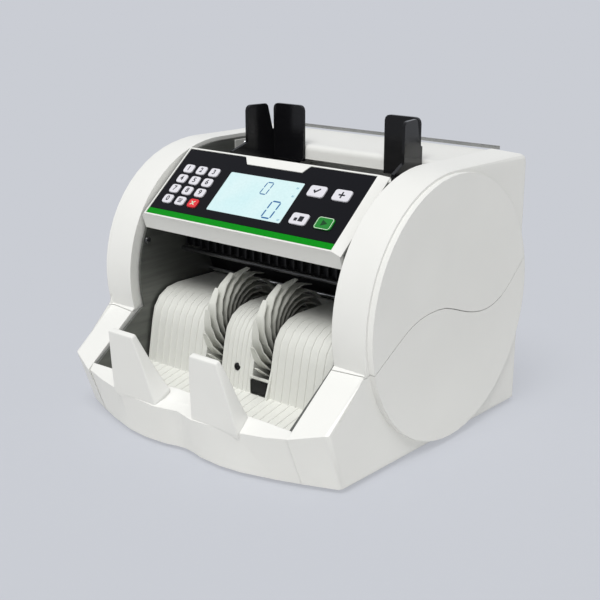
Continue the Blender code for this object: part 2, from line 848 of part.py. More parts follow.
def sensor_bar(parent):
    """A bar across the right slot, over the opening of the stack sensor."""
    low_z, high_z = SENSOR_BAR
    face = HUMP_FOOT[0] + (low_z - HUMP_FOOT[1]) / slope(HUMP_FOOT, HUMP_BEND)
    front = face - SENSOR_BAR_PROUD
    low = (MIDDLE_HUMP_HALF - SHELL / 2, front, low_z)
    high = (OUTER_HUMP_LOW + SHELL / 2, front + SENSOR_BAR_DEPTH, high_z)
    return new_object("sensor_bar", box_mesh(low, high), None, parent)


def hump_cavity(name, parent, low, high):
    inner = offset_path(hump_face()[1:], -SHELL)
    foot_y = HUMP_FOOT[0] + SHELL
    under = HUMP_FOOT[1] - SHELL - OVERRUN
    outline = inner[:-1] + [(HUMP_REAR - SHELL, inner[-1][1]), (HUMP_REAR - SHELL, under), (foot_y, under)]
    outline = [(foot_y, HUMP_FOOT[1])] + outline
    return new_object(name, prism_mesh(outline, low + SHELL, high - SHELL), None, parent)


def stacker_guide(parent):
    """Tray floor, three ribbed humps and a rear wall that ties them, in one moulding."""
    half = FRAME_HALF - SHEET - SEAT_GAP
    foot_y, foot_z = HUMP_FOOT
    end_y = foot_y + SHELL / 2
    floor_path = [TRAY_FRONT, (end_y, foot_z + SHELL / 2 * slope(TRAY_FRONT, HUMP_FOOT))]
    closing = [(end_y, foot_z - SHELL), (TRAY_FRONT[0] + TRAY_LEAN, TRAY_FRONT[1] - SHELL)]
    stations = rib_stations(-half, half, -half + TRAY_RIB_PITCH, TRAY_RIB_PITCH)
    guide = new_object("stacker_guide", ribbed_mesh(floor_path, closing, stations), white_plastic(), parent)
    middle = MIDDLE_RIB_PITCH / 2 - RIB_WIDTH / 2 - 3 * MIDDLE_RIB_PITCH
    right = OUTER_HUMP_LOW + FIRST_OUTER_RIB
    count = int((OUTER_HUMP_HIGH - right - RIB_WIDTH) / RIB_PITCH)
    left = -right - RIB_WIDTH - count * RIB_PITCH
    spans = (
        ("left_hump", -OUTER_HUMP_HIGH, -OUTER_HUMP_LOW, left, RIB_PITCH),
        ("middle_hump", -MIDDLE_HUMP_HALF, MIDDLE_HUMP_HALF, middle, MIDDLE_RIB_PITCH),
        ("right_hump", OUTER_HUMP_LOW, OUTER_HUMP_HIGH, right, RIB_PITCH),
    )
    for name, low, high, rib, pitch in spans:
        join(guide, hump(name, parent, low, high, rib, pitch))
    wall_half = OUTER_HUMP_HIGH - SHELL / 2
    wall_low = (-wall_half, HUMP_REAR - SHELL, foot_z - SHELL)
    wall_high = (wall_half, HUMP_REAR, HUMP_TOP[1] - RIB_HEIGHT)
    join(guide, new_object("hump_rear_wall", box_mesh(wall_low, wall_high), None, parent))
    for name, low, high, rib, pitch in spans:
        cut(guide, hump_cavity(name + "_cavity", parent, low, high))
    join(guide, hump_fin("right_fin", parent, OUTER_HUMP_LOW))
    join(guide, hump_fin("left_fin", parent, -OUTER_HUMP_LOW - FIN_WIDTH))
    join(guide, sensor_bar(parent))
    channel = SHAFT_RADIUS + 2 * RUN_GAP
    cut(guide, shaft_cutter("fan_shaft_channel", parent, (FAN_Y, FAN_Z), channel, -INNER_HALF, INNER_HALF))
    cut(guide, screw_pocket(parent))
    return guide


def slope(start, end):
    return (end[1] - start[1]) / (end[0] - start[0])


def screw_face_y():
    """The hump's front face at the height of its screw."""
    return HUMP_FOOT[0] + (SCREW_Z - HUMP_FOOT[1]) / slope(HUMP_FOOT, HUMP_BEND)


def screw_pocket(parent):
    radius = SCREW_RADIUS + SEAT_GAP
    profile = [(-SHELL, radius), (SCREW_HEAD, radius)]
    maker = turned_mesh(profile, SHAFT_SEGMENTS)
    pocket = new_object("screw_pocket", maker, None, parent, (0, screw_face_y(), SCREW_Z))
    pocket.rotation_euler = (0, 0, math.pi / 2)
    return pocket


def screw(name, parent, location, turn):
    """A pan head with one driver slot, facing its local -X."""
    profile = [(0, SCREW_RADIUS - SCREW_SLOT), (SCREW_SLOT, SCREW_RADIUS)]
    profile.append((SCREW_HEAD - SEAT_GAP, SCREW_RADIUS))
    made = new_object(name, turned_mesh(profile, SHAFT_SEGMENTS), bright_metal(), parent, location)
    half = SCREW_SLOT / 2
    low = (-OVERRUN, -half, -2 * SCREW_RADIUS)
    high = (SCREW_SLOT, half, 2 * SCREW_RADIUS)
    slot = new_object(name + "_slot", box_mesh(low, high), None, parent, location)
    made.rotation_euler = (0, 0, turn)
    slot.rotation_euler = (0, 0, turn)
    cut(made, slot)
    return made


# Fan rotor


def blade_centre(start, t):
    """A point of the blade's centre line: it trails as it leaves the hub."""
    radius = FAN_HUB + (FAN_RADIUS - FAN_HUB) * t
    angle = start - math.radians(FAN_SWEEP) * t
    return Vector((radius * math.cos(angle), radius * math.sin(angle)))


def blade_sides(start):
    """Both sides of one blade, each from the hub to the tip."""
    steps = FAN_BLADE_STEPS
    leading = []
    trailing = []
    for index in range(steps + 1):
        t = index / steps
        here = blade_centre(start, t)
        along = (blade_centre(start, t + BLADE_PROBE) - blade_centre(start, t - BLADE_PROBE)).normalized()
        half = (FAN_BLADE + (FAN_TIP_BLADE - FAN_BLADE) * t) / 2
        across = Vector((-along.y, along.x)) * half
        leading.append(here + across)
        trailing.append(here - across)
    return leading, trailing


BLADE_PROBE = 0.01


def fan_outline():
    """Hub and spiral blades, as one closed outline in the side view."""
    outline = []
    for index in range(FAN_BLADES):
        leading, trailing = blade_sides(2 * math.pi * index / FAN_BLADES)
        outline += trailing + leading[::-1]
    return [(point.x, point.y) for point in outline]


def fan_wheel(name, parent, x):
    low = -FAN_WIDTH / 2
    wheel = new_object(name, prism_mesh(fan_outline(), low, -low), fan_rubber(), parent, (x, 0, 0))
    reach = FAN_RADIUS + OVERRUN
    tip = FAN_TIP_WIDTH / 2
    wide = -low + SEAT_GAP
    profile = [(-wide, FAN_HUB), (-wide, FAN_TAPER_FROM), (-tip, reach), (tip, reach)]
    profile += [(wide, FAN_TAPER_FROM), (wide, FAN_HUB)]
    envelope = new_object(name + "_envelope", turned_mesh(profile, ROLLER_SEGMENTS), None, parent, (x, 0, 0))
    keep_inside(wheel, envelope)
    cut(wheel, shaft_cutter(name + "_bore", parent, (0, 0), SHAFT_RADIUS + SEAT_GAP, x + 2 * low, x - 2 * low))
    return wheel


def shaft(name, parent, radius, low, high, finish):
    chamfer = radius / 8
    profile = [(low, radius - chamfer), (low + chamfer, radius), (high - chamfer, radius), (high, radius - chamfer)]
    return new_object(name, turned_mesh(profile, SHAFT_SEGMENTS), finish, parent)


def pulley(name, parent, radius, bore, finish):
    """A flanged pulley in the right cover, on its shaft."""
    rise = radius + PULLEY_FLANGE_RISE
    low = PULLEY_LOW
    high = PULLEY_LOW + PULLEY_WIDTH
    inner = bore + SEAT_GAP
    profile = [(low, inner), (low, rise), (low + PULLEY_FLANGE, rise), (low + PULLEY_FLANGE, radius)]
    profile += [(high - PULLEY_FLANGE, radius), (high - PULLEY_FLANGE, rise), (high, rise), (high, inner)]
    return new_object(name, turned_mesh(profile, ROLLER_SEGMENTS, bored=True), finish, parent)


def motor_pulley(parent):
    """The motor's pulley with the shaft end that carries it, in one piece."""
    low = PULLEY_LOW
    high = PULLEY_LOW + PULLEY_WIDTH
    rise = MOTOR_PULLEY + PULLEY_FLANGE_RISE
    profile = [(FRAME_HALF - SHEET, MOTOR_SHAFT), (low, MOTOR_SHAFT), (low, rise), (low + PULLEY_FLANGE, rise)]
    profile += [(low + PULLEY_FLANGE, MOTOR_PULLEY), (high - PULLEY_FLANGE, MOTOR_PULLEY)]
    profile += [(high - PULLEY_FLANGE, rise), (high, rise)]
    return new_object("motor_pulley", turned_mesh(profile, ROLLER_SEGMENTS), black_plastic(), parent)


def roller(name, parent, radius, inner, outer, low, high):
    """A shaft from low to high with a rubber-faced roller on each side of the middle."""
    edge = radius / 16
    profile = [(low, SHAFT_RADIUS)]
    for start, end in ((-outer, -inner), (inner, outer)):
        profile += [(start, SHAFT_RADIUS), (start, radius - edge), (start + edge, radius)]
        profile += [(end - edge, radius), (end, radius - edge), (end, SHAFT_RADIUS)]
    profile.append((high, SHAFT_RADIUS))
    return new_object(name, turned_mesh(profile, ROLLER_SEGMENTS), dark_rubber(), parent)


def belt_path(pulleys, grow):
    """The loop round the pulleys, listed anticlockwise as (axis, radius), grown by a distance."""
    count = len(pulleys)
    leaving = []
    for index in range(count):
        (start, radius), (end, next_radius) = pulleys[index], pulleys[(index + 1) % count]
        along = Vector((end[0] - start[0], end[1] - start[1]))
        turn = math.acos((radius - next_radius) / along.length)
        leaving.append(math.degrees(math.atan2(along.y, along.x)) - math.degrees(turn))
    path = []
    for index, (axis, radius) in enumerate(pulleys):
        start, end = leaving[index - 1], leaving[index]
        while end < start:
            end += 360
        steps = max(2, round((end - start) / BELT_STEP))
        path += arc(axis[0], axis[1], radius + grow, start, end, steps)
    return path


BELT_STEP = 9


def drive_belt(parent):
    """One flat loop round motor, pick-up, feed and fan pulley."""
    pulleys = (
        (MOTOR_AXIS, MOTOR_PULLEY),
        (PICKUP_AXIS, FEED_PULLEY),
        (FEED_AXIS, FEED_PULLEY),
        ((FAN_Y, FAN_Z), FAN_PULLEY),
    )
    low = PULLEY_LOW + PULLEY_FLANGE + BELT_SIDE_GAP
    high = PULLEY_LOW + PULLEY_WIDTH - PULLEY_FLANGE - BELT_SIDE_GAP
    outer = prism_mesh(belt_path(pulleys, SEAT_GAP + BELT_THICKNESS), low, high)
    belt = new_object("drive_belt", outer, dark_rubber(), parent)
    inner = prism_mesh(belt_path(pulleys, SEAT_GAP), low - OVERRUN, high + OVERRUN)
    cut(belt, new_object("belt_inside", inner, None, parent))
    return belt


def motor(parent):
    """Round motor with its flange against the right side frame."""
    end = FRAME_HALF - SHEET - SEAT_GAP
    start = end - MOTOR_LENGTH
    step = MOTOR_RADIUS / 8
    profile = [(start - step, MOTOR_RADIUS / 3), (start, MOTOR_RADIUS / 3), (start, MOTOR_RADIUS - step)]
    profile += [(start + step, MOTOR_RADIUS), (end - step, MOTOR_RADIUS), (end - step, MOTOR_RADIUS + step)]
    profile.append((end, MOTOR_RADIUS + step))
    return new_object("drive_motor", turned_mesh(profile, ROLLER_SEGMENTS), grey_metal(), parent, (0, *MOTOR_AXIS))


# Side frames


def frame_outline():
    """Plate that follows the cover, the cheek, the lip and the panel's underside."""
    cheek_slope = slope(CHEEK_NOSE_INNER, (CHEEK_TOP_INNER_Y, CHEEK_BACK_INNER_Z))
    lip_foot_y, lip_foot_z = LIP_INNER_FOOT
    last = LIP_STATIONS[-1]
    front_y = last[1] + LIP_THICKNESS + FRAME_LIP_GAP + SHEET
    rise_y = last[4] + FRAME_LIP_GAP
    rise_z = CHEEK_NOSE_INNER[1] + cheek_slope * (rise_y - CHEEK_NOSE_INNER[0]) - FRAME_CHEEK_DROP
    outline = [(front_y, FRAME_FOOT), (FRAME_REAR, FRAME_FOOT), (FRAME_REAR, FRAME_REAR_TOP)]
    wall_y = WALL_Y - SEAT_GAP
    top = crown_top(FRAME_TOP_RADIUS)
    outline += [(wall_y, FRAME_REAR_TOP), (wall_y, top), (CROWN_Y, top)]
    behind_panel = math.degrees(math.acos((HOPPER_FRONT_Y + OVERRUN - CROWN_Y) / FRAME_TOP_RADIUS))
    outline += arc(CROWN_Y, CROWN_Z, FRAME_TOP_RADIUS, 90, behind_panel, CORNER_STEPS)[1:]
    outline += [panel_point(OVERLAY_LENGTH, -PANEL_RISE - OVERRUN), panel_point(OVERRUN, -PANEL_RISE - OVERRUN)]
    start = 180 - math.degrees(math.asin((LIP_FACE_FOOT[1] - CROWN_Z) / FRAME_FRONT_RADIUS))
    end = 180 + math.degrees(math.asin((CROWN_Z - CHEEK_BACK_INNER_Z) / FRAME_FRONT_RADIUS))
    outline += arc(CROWN_Y, CROWN_Z, FRAME_FRONT_RADIUS, start, end, CORNER_STEPS * 2)
    outline += [(CHEEK_TOP_INNER_Y, CHEEK_BACK_INNER_Z - FRAME_CHEEK_DROP), (rise_y, rise_z)]
    outline.append((lip_foot_y + FRAME_LIP_GAP, lip_foot_z))
    return outline


CHEEK_TOP_INNER_Y = 0.0295


def panel_point(up, out):
    """(y, z) of a point of the panel, up its slope and out from its face."""
    tilt = math.radians(PANEL_TILT)
    y = PANEL_FRONT[0] + up * math.cos(tilt) - out * math.sin(tilt)
    z = PANEL_FRONT[1] + up * math.sin(tilt) + out * math.cos(tilt)
    return y, z


def side_frame(name, parent, side):
    near = side * (FRAME_HALF - SHEET)
    far = side * FRAME_HALF
    plate = new_object(name, prism_mesh(frame_outline(), near, far), grey_metal(), parent)
    low, high = sorted((side * (FRAME_HALF - SHEET - OVERRUN), side * (FRAME_HALF + OVERRUN)))
    for axis in ((FAN_Y, FAN_Z), FEED_AXIS, PICKUP_AXIS):
        cut(plate, shaft_cutter(name + "_hole", parent, axis, SHAFT_RADIUS + RUN_GAP, low, high))
    if side > 0:
        radius = MOTOR_SHAFT + 2 * RUN_GAP
        cut(plate, shaft_cutter("motor_hole", parent, MOTOR_AXIS, radius, low, high))
    return plate


# Control panel


def panel_body(parent):
    """Housing under the sloping face, with the white lip over the stacker's mouth."""
    half = FRAME_HALF - SHEET - SEAT_GAP
    outline = [LIP_FACE_FOOT, PANEL_UNDER_FRONT, PANEL_UNDER_REAR, (HOPPER_FRONT_Y, HOPPER_FRONT_FOOT)]
    outline += [(HOPPER_FRONT_Y, HOPPER_FRONT_TOP), panel_point(OVERLAY_LENGTH + OVERRUN, -PANEL_RISE)]
    outline += [panel_point(-PANEL_RIM, -PANEL_RISE)]
    body = new_object("panel_housing", prism_mesh(outline, -half, half), white_plastic(), parent)
    return body


def panel_face(parent, tilted):
    """The raised field that carries the overlay: its sides are chamfered."""
    body = panel_body(parent)
    low = -PANEL_RISE - SEAT_GAP
    spread = PANEL_SKIRT_HALF - PANEL_HALF
    lower = frame_rectangle(PANEL_SKIRT_HALF, -PANEL_RIM, OVERLAY_LENGTH + PANEL_RIM + spread / 2)
    upper = frame_rectangle(PANEL_HALF, -PANEL_RIM, OVERLAY_LENGTH + PANEL_RIM)
    sections = [[(x, y, low) for x, y in lower], [(x, y, RIM_HEIGHT) for x, y in upper]]
    field = new_object("panel_field", loft_mesh(sections), None, tilted)
    join(body, field)
    cut(body, overlay_recess(tilted), key_wells(tilted))
    return body


def frame_rectangle(half, low, high):
    return [(-half, low), (half, low), (half, high), (-half, high)]


def overlay_outline(grow):
    """The black field with its notch in the top edge, grown by a distance."""
    top = OVERLAY_LENGTH + grow
    half = OVERLAY_HALF + grow
    floor = OVERLAY_LENGTH - NOTCH_DEPTH + grow
    outline = [(-half, -grow), (half, -grow), (half, top), (NOTCH_RIGHT - grow, top)]
    outline += [(NOTCH_FLOOR_RIGHT - grow, floor), (grow - NOTCH_FLOOR_LEFT, floor), (grow - NOTCH_LEFT, top)]
    outline.append((-half, top))
    return outline


def overlay_recess(tilted):
    depth = OVERLAY_THICKNESS + SEAT_GAP
    maker = plate_mesh(overlay_outline(SEAT_GAP), -depth, RIM_HEIGHT + OVERRUN)
    return new_object("overlay_recess", maker, None, tilted)


def key_wells(tilted):
    """Wells for both key fields and the display, all open to the overlay."""
    maker = bmesh.new()
    top = -OVERLAY_THICKNESS
    deep = -KEY_STEM - KEY_TRAVEL - SEAT_GAP
    for centre, size in (number_field(), function_field()):
        add_prism(maker, rounded_rectangle(centre, size, KEY_CORNER), deep, top)
    size = (2 * (DISPLAY_HALF + DISPLAY_SILL), DISPLAY_HIGH - DISPLAY_LOW + 2 * DISPLAY_SILL)
    floor = -DISPLAY_SUNK - DISPLAY_THICKNESS - SEAT_GAP
    centre = (0, (DISPLAY_LOW + DISPLAY_HIGH) / 2)
    add_prism(maker, rounded_rectangle(centre, size, DISPLAY_SILL), floor, top)
    return new_object("key_wells", maker, None, tilted)


def number_field():
    columns = NUMBER_KEY_LEFT + NUMBER_KEY_PITCH[0]
    rows = NUMBER_KEY_TOP - NUMBER_KEY_PITCH[1] * 3 / 2
    width = 2 * NUMBER_KEY_PITCH[0] + NUMBER_KEY_SIZE[0] + 2 * WELL_MARGIN
    height = 3 * NUMBER_KEY_PITCH[1] + NUMBER_KEY_SIZE[1] + 2 * WELL_MARGIN
    return (columns, rows), (width, height)


def function_field():
    centre = ((FUNCTION_KEY_LEFT + FUNCTION_KEY_RIGHT) / 2, (FUNCTION_KEY_LOW + FUNCTION_KEY_HIGH) / 2)
    width = FUNCTION_KEY_RIGHT - FUNCTION_KEY_LEFT + FUNCTION_KEY_SIZE[0] + 2 * WELL_MARGIN
    height = FUNCTION_KEY_HIGH - FUNCTION_KEY_LOW + FUNCTION_KEY_SIZE[1] + 2 * WELL_MARGIN
    return centre, (width, height)


def key_places():
    """(name, centre, size, finish) of every key."""
    places = []
    names = ("1", "2", "3", "4", "5", "6", "7", "8", "9", "0", "mode", "clear")
    for index, name in enumerate(names):
        column, row = index % 3, index // 3
        centre = (NUMBER_KEY_LEFT + column * NUMBER_KEY_PITCH[0], NUMBER_KEY_TOP - row * NUMBER_KEY_PITCH[1])
        finish = key_red() if name == "clear" else key_white()
        places.append((f"key_{name}", centre, NUMBER_KEY_SIZE, finish))
    functions = (
        ("key_check", FUNCTION_KEY_LEFT, FUNCTION_KEY_HIGH, key_white()),
        ("key_add", FUNCTION_KEY_RIGHT, FUNCTION_KEY_HIGH, key_white()),
        ("key_size", FUNCTION_KEY_LEFT, FUNCTION_KEY_LOW, key_white()),
        ("key_restart", FUNCTION_KEY_RIGHT, FUNCTION_KEY_LOW, key_green()),
    )
    for name, x, y, finish in functions:
        places.append((name, (x, y), FUNCTION_KEY_SIZE, finish))
    return places


def control_overlay(tilted):
    """Thin black field above the stripe, with a hole for each key and the display."""
    outline = overlay_outline(0)
    outline[0] = (-OVERLAY_HALF, STRIPE_WIDTH + SEAT_GAP)
    outline[1] = (OVERLAY_HALF, STRIPE_WIDTH + SEAT_GAP)
    overlay = new_object("control_overlay", plate_mesh(outline, -OVERLAY_THICKNESS, 0), overlay_black(), tilted)
    maker = bmesh.new()
    low = -OVERLAY_THICKNESS - OVERRUN
    for _, centre, size, _ in key_places():
        hole = (size[0] + 2 * KEY_GAP, size[1] + 2 * KEY_GAP)
        add_prism(maker, rounded_rectangle(centre, hole, KEY_CORNER + KEY_GAP), low, OVERRUN)
    centre = (0, (DISPLAY_LOW + DISPLAY_HIGH) / 2)
    window = (2 * (DISPLAY_HALF + SEAT_GAP), DISPLAY_HIGH - DISPLAY_LOW + 2 * SEAT_GAP)
    add_prism(maker, rounded_rectangle(centre, window, DISPLAY_SILL / 2), low, OVERRUN)
    cut(overlay, new_object("overlay_holes", maker, None, tilted))
    return overlay


def green_stripe(tilted):
    outline = frame_rectangle(OVERLAY_HALF, 0, STRIPE_WIDTH)
    return new_object("green_stripe", plate_mesh(outline, -OVERLAY_THICKNESS, 0), stripe_green(), tilted)


def display_window(tilted):
    centre = (0, (DISPLAY_LOW + DISPLAY_HIGH) / 2)
    size = (2 * DISPLAY_HALF, DISPLAY_HIGH - DISPLAY_LOW)
    outline = rounded_rectangle(centre, size, DISPLAY_SILL / 2)
    low = -DISPLAY_SUNK - DISPLAY_THICKNESS
    return new_object("display_window", plate_mesh(outline, low, -DISPLAY_SUNK), display_glass(), tilted)


def key(name, tilted, centre, size, finish):
    """A key cap with a chamfered top, which presses along the panel's normal."""
    outline = rounded_rectangle((0, 0), size, KEY_CORNER)
    narrow = (size[0] - 2 * KEY_CHAMFER, size[1] - 2 * KEY_CHAMFER)
    top = rounded_rectangle((0, 0), narrow, KEY_CORNER - KEY_CHAMFER)
    sections = [[(x, y, -KEY_STEM) for x, y in outline], [(x, y, KEY_PROUD - KEY_CHAMFER) for x, y in outline]]
    sections.append([(x, y, KEY_PROUD) for x, y in top])
    return new_object(name, loft_mesh(sections), finish, tilted, (*centre, 0))


# Hopper and top


def hopper_floor(parent):
    """Sloping sheet with slots that the rollers reach through."""
    half = FRAME_HALF - SHEET - SEAT_GAP
    thickness = HOPPER_SHEET
    low_y = HOPPER_FRONT_Y + OVERRUN
    outline = [(low_y, hopper_z(low_y)), (HOPPER_HIGH[0], HOPPER_HIGH[1])]
    outline += [(HOPPER_HIGH[0], HOPPER_HIGH[1] - thickness), (low_y, hopper_z(low_y) - thickness)]
    floor = new_object("hopper_floor", prism_mesh(outline, -half, half), grey_metal(), parent)
    for side in (-1, 1):
        cut(floor, roller_slot(parent, side, FEED_AXIS, FEED_RADIUS, FEED_INNER, FEED_OUTER))
        cut(floor, roller_slot(parent, side, PICKUP_AXIS, PICKUP_RADIUS, PICKUP_INNER, PICKUP_OUTER))
    return floor


def hopper_z(y):
    return HOPPER_LOW[1] + (y - HOPPER_LOW[0]) * slope(HOPPER_LOW, HOPPER_HIGH)


def roller_slot(parent, side, axis, radius, inner, outer):
    """A slot in the hopper floor, as long as the roller's chord there."""
    tilt = math.atan(slope(HOPPER_LOW, HOPPER_HIGH))
    height = (hopper_z(axis[0]) - axis[1]) * math.cos(tilt)
    under = height - HOPPER_SHEET
    chord = math.sqrt(radius**2 - under**2) + SLOT_MARGIN
    middle_y = axis[0] - height * math.sin(tilt)
    near, far = sorted((side * (inner - SLOT_MARGIN), side * (outer + SLOT_MARGIN)))
    low = (near, middle_y - chord, hopper_z(middle_y - chord) - 2 * HOPPER_SHEET)
    high = (far, middle_y + chord, hopper_z(middle_y + chord) + HOPPER_SHEET)
    return new_object("roller_slot", box_mesh(low, high), None, parent)


def rear_housing(parent):
    """Hopper wall that turns over into the flat top."""
    half = INNER_HALF - SEAT_GAP
    corner = (WALL_Y, TOP_FRONT[1])
    path = [(WALL_Y, WALL_FOOT)]
    for index in range(CORNER_STEPS + 2):
        t = index / (CORNER_STEPS + 1)
        path.append(tuple(curve(a, b, c, t) for a, b, c in zip((WALL_Y, WALL_TOP), corner, TOP_FRONT)))
    path.append((DEPTH, TOP_REAR_Z))
    inner = offset_path(path, -SHELL)
    inner[-1] = (DEPTH, inner[-1][1])
    outline = path + inner[::-1]
    return new_object("rear_housing", prism_mesh(outline, -half, half), white_plastic(), parent)


def top_plate(parent):
    """Clear plate on the flat top, which overhangs the rear."""
    half = INNER_HALF - SEAT_GAP
    rise = slope(TOP_FRONT, (DEPTH, TOP_REAR_Z))
    front_y = TOP_FRONT[0] + SEAT_GAP
    front_z = TOP_FRONT[1] + SEAT_GAP
    rear_z = TOP_REAR_Z + SEAT_GAP + (TOP_PLATE_REAR - DEPTH) * rise
    outline = [(front_y, front_z), (TOP_PLATE_REAR, rear_z), (TOP_PLATE_REAR, rear_z + TOP_PLATE_THICKNESS)]
    outline.append((front_y, front_z + TOP_PLATE_THICKNESS))
    return new_object("clear_top_plate", prism_mesh(outline, -half, half), clear_plastic(), parent)


def guide_rail(parent):
    half = FRAME_HALF - SHEET - SEAT_GAP
    rail = shaft("guide_rail", parent, RAIL_RADIUS, -half, half, bright_metal())
    rail.location = (0, *RAIL_AXIS)
    return rail


def guide_outline():
    """Side view of the guide's cheek: upright blade with a foot and a notch behind it."""
    floor_rear = hopper_z(GUIDE_FACE_Y + GUIDE_PLATE) + GUIDE_FLOOR_GAP
    floor_front = hopper_z(GUIDE_FOOT_FRONT) + GUIDE_FLOOR_GAP
    rear = GUIDE_FACE_Y + GUIDE_PLATE
    outline = [(GUIDE_FOOT_FRONT, floor_front), (rear, floor_rear), (rear, GUIDE_NOTCH_Z)]
    outline += [(GUIDE_NOTCH_Y, GUIDE_NOTCH_Z), (GUIDE_NOTCH_TOP_Y + OVERRUN, GUIDE_TOP - OVERRUN)]
    outline.append((GUIDE_NOTCH_TOP_Y, GUIDE_TOP))
    outline += arc(GUIDE_FRONT + GUIDE_CORNER, GUIDE_TOP - GUIDE_CORNER, GUIDE_CORNER, 90, 180, CORNER_STEPS)
    outline += [(GUIDE_FRONT, GUIDE_FOOT_TOP), (GUIDE_FOOT_FRONT, GUIDE_FOOT_Z)]
    return outline


def flared_section(side, outline, out):
    """The outline in a plane that flares outwards to the front."""
    rear = GUIDE_FACE_Y + GUIDE_PLATE
    return [(side * (GUIDE_OUTER + out + (rear - y) * GUIDE_FLARE), y, z) for y, z in outline]


def hopper_guide(name, parent, side):
    """Upright guide: a cheek beside the notes, a plate behind them and a slider on the rail."""
    outline = guide_outline()
    sections = [flared_section(side, outline, 0), flared_section(side, outline, GUIDE_PLATE)]
    made = new_object(name, loft_mesh(sections), black_plastic(), parent, (0, -RAIL_AXIS[0], -RAIL_AXIS[1]))
    join(made, guide_plate(name, parent, side), guide_slider(name, parent, side))
    profile_low = -SLIDER_HALF_LENGTH - OVERRUN
    centre = side * (GUIDE_OUTER - SLIDER_HALF_LENGTH / 2)
    bore = shaft_cutter(name + "_bore", parent, (0, 0), RAIL_RADIUS + SEAT_GAP, profile_low, -profile_low)
    bore.location = (centre, 0, 0)
    cut(made, bore)
    return made


def guide_plate(name, parent, side):
    """The plate behind the notes, with rounded top corners."""
    low, high = sorted((side * GUIDE_INNER, side * (GUIDE_OUTER + GUIDE_PLATE / 2)))
    top = GUIDE_TOP - GUIDE_CORNER
    outline = [(low, GUIDE_BACK_FOOT), (high, GUIDE_BACK_FOOT)]
    outline += arc(high - GUIDE_CORNER, top, GUIDE_CORNER, 0, 90, CORNER_STEPS)
    outline += arc(low + GUIDE_CORNER, top, GUIDE_CORNER, 90, 180, CORNER_STEPS)
    front = GUIDE_FACE_Y
    back = GUIDE_FACE_Y + GUIDE_PLATE
    maker = loft_mesh([[(x, front, z) for x, z in outline], [(x, back, z) for x, z in outline]])
    return new_object(name + "_plate", maker, None, parent, (0, -RAIL_AXIS[0], -RAIL_AXIS[1]))


def guide_slider(name, parent, side):
    """An arm under the hopper wall and a block round the rail."""
    centre = side * (GUIDE_OUTER - SLIDER_HALF_LENGTH / 2)
    low = centre - SLIDER_HALF_LENGTH
    high = centre + SLIDER_HALF_LENGTH
    rear = RAIL_AXIS[0] + SLIDER_HALF
    outline = [(GUIDE_FACE_Y + SHEET / 2, ARM_LOW), (RAIL_AXIS[0] - SLIDER_HALF, ARM_LOW)]
    outline += [(RAIL_AXIS[0] - SLIDER_HALF, RAIL_AXIS[1] - SLIDER_HALF), (rear, RAIL_AXIS[1] - SLIDER_HALF)]
    outline += [(rear, ARM_HIGH), (GUIDE_FACE_Y + SHEET / 2, ARM_HIGH)]
    maker = prism_mesh(outline, low, high)
    return new_object(name + "_slider", maker, None, parent, (0, -RAIL_AXIS[0], -RAIL_AXIS[1]))


# Note guides and rods


def note_comb(parent):
    """Black plate under the panel with upright ribs on its front."""
    half = FRAME_HALF - SHEET - SEAT_GAP
    back = COMB_REAR
    face = COMB_REAR - SHEET
    pitch = 2 * half / COMB_TEETH
    outline = [(half, back), (-half, back), (-half, face)]
    for index in range(COMB_TEETH):
        start = -half + pitch * (index + 1 / 2) - COMB_TOOTH / 2
        end = start + COMB_TOOTH
        outline += [(start, face), (start, COMB_FRONT), (end, COMB_FRONT), (end, face)]
    outline.append((half, face))
    return new_object("note_comb", plate_mesh(outline, COMB_LOW, COMB_HIGH), black_plastic(), parent)


def lower_note_guide(parent):
    half = FRAME_HALF - SHEET - SEAT_GAP
    front = [LOWER_GUIDE_FOOT, LOWER_GUIDE_TOP]
    outline = front + offset_path(front, -SHEET)[::-1]
    return new_object("lower_note_guide", prism_mesh(outline, -half, half), black_plastic(), parent)


def tie_rod(name, parent, axis):
    half = FRAME_HALF - SHEET - SEAT_GAP
    rod = shaft(name, parent, ROD_RADIUS, -half, half, bright_metal())
    rod.location = (0, *axis)
    return rod


# Rear panel and electrics


def rear_panel(parent):
    """Flat back with vents and holes for inlet and switch, with board bosses inside."""
    half = INNER_HALF - SEAT_GAP
    low = (-half, DEPTH - SHELL, SEAT_GAP)
    panel = new_object("rear_panel", box_mesh(low, (half, DEPTH, REAR_PANEL_TOP)), white_plastic(), parent)
    for x in (-BOARD_HALF, BOARD_HALF):
        for z in (BOARD_LOW, BOARD_HIGH):
            join(panel, board_boss(parent, x, z))
    join(panel, switch_bezel(parent))
    cut(panel, rear_holes(parent))
    return panel


def board_boss(parent, x, z):
    inset = 2 * STANDOFF_RADIUS
    x += inset if x < 0 else -inset
    z += inset if z == BOARD_LOW else -inset
    start = BOARD_Y + BOARD_THICKNESS + SEAT_GAP
    profile = [(start, STANDOFF_RADIUS), (DEPTH - SHELL / 2, STANDOFF_RADIUS)]
    boss = new_object("board_boss", turned_mesh(profile, SHAFT_SEGMENTS), None, parent, (x, 0, z))
    boss.rotation_euler = (0, 0, math.pi / 2)
    return boss


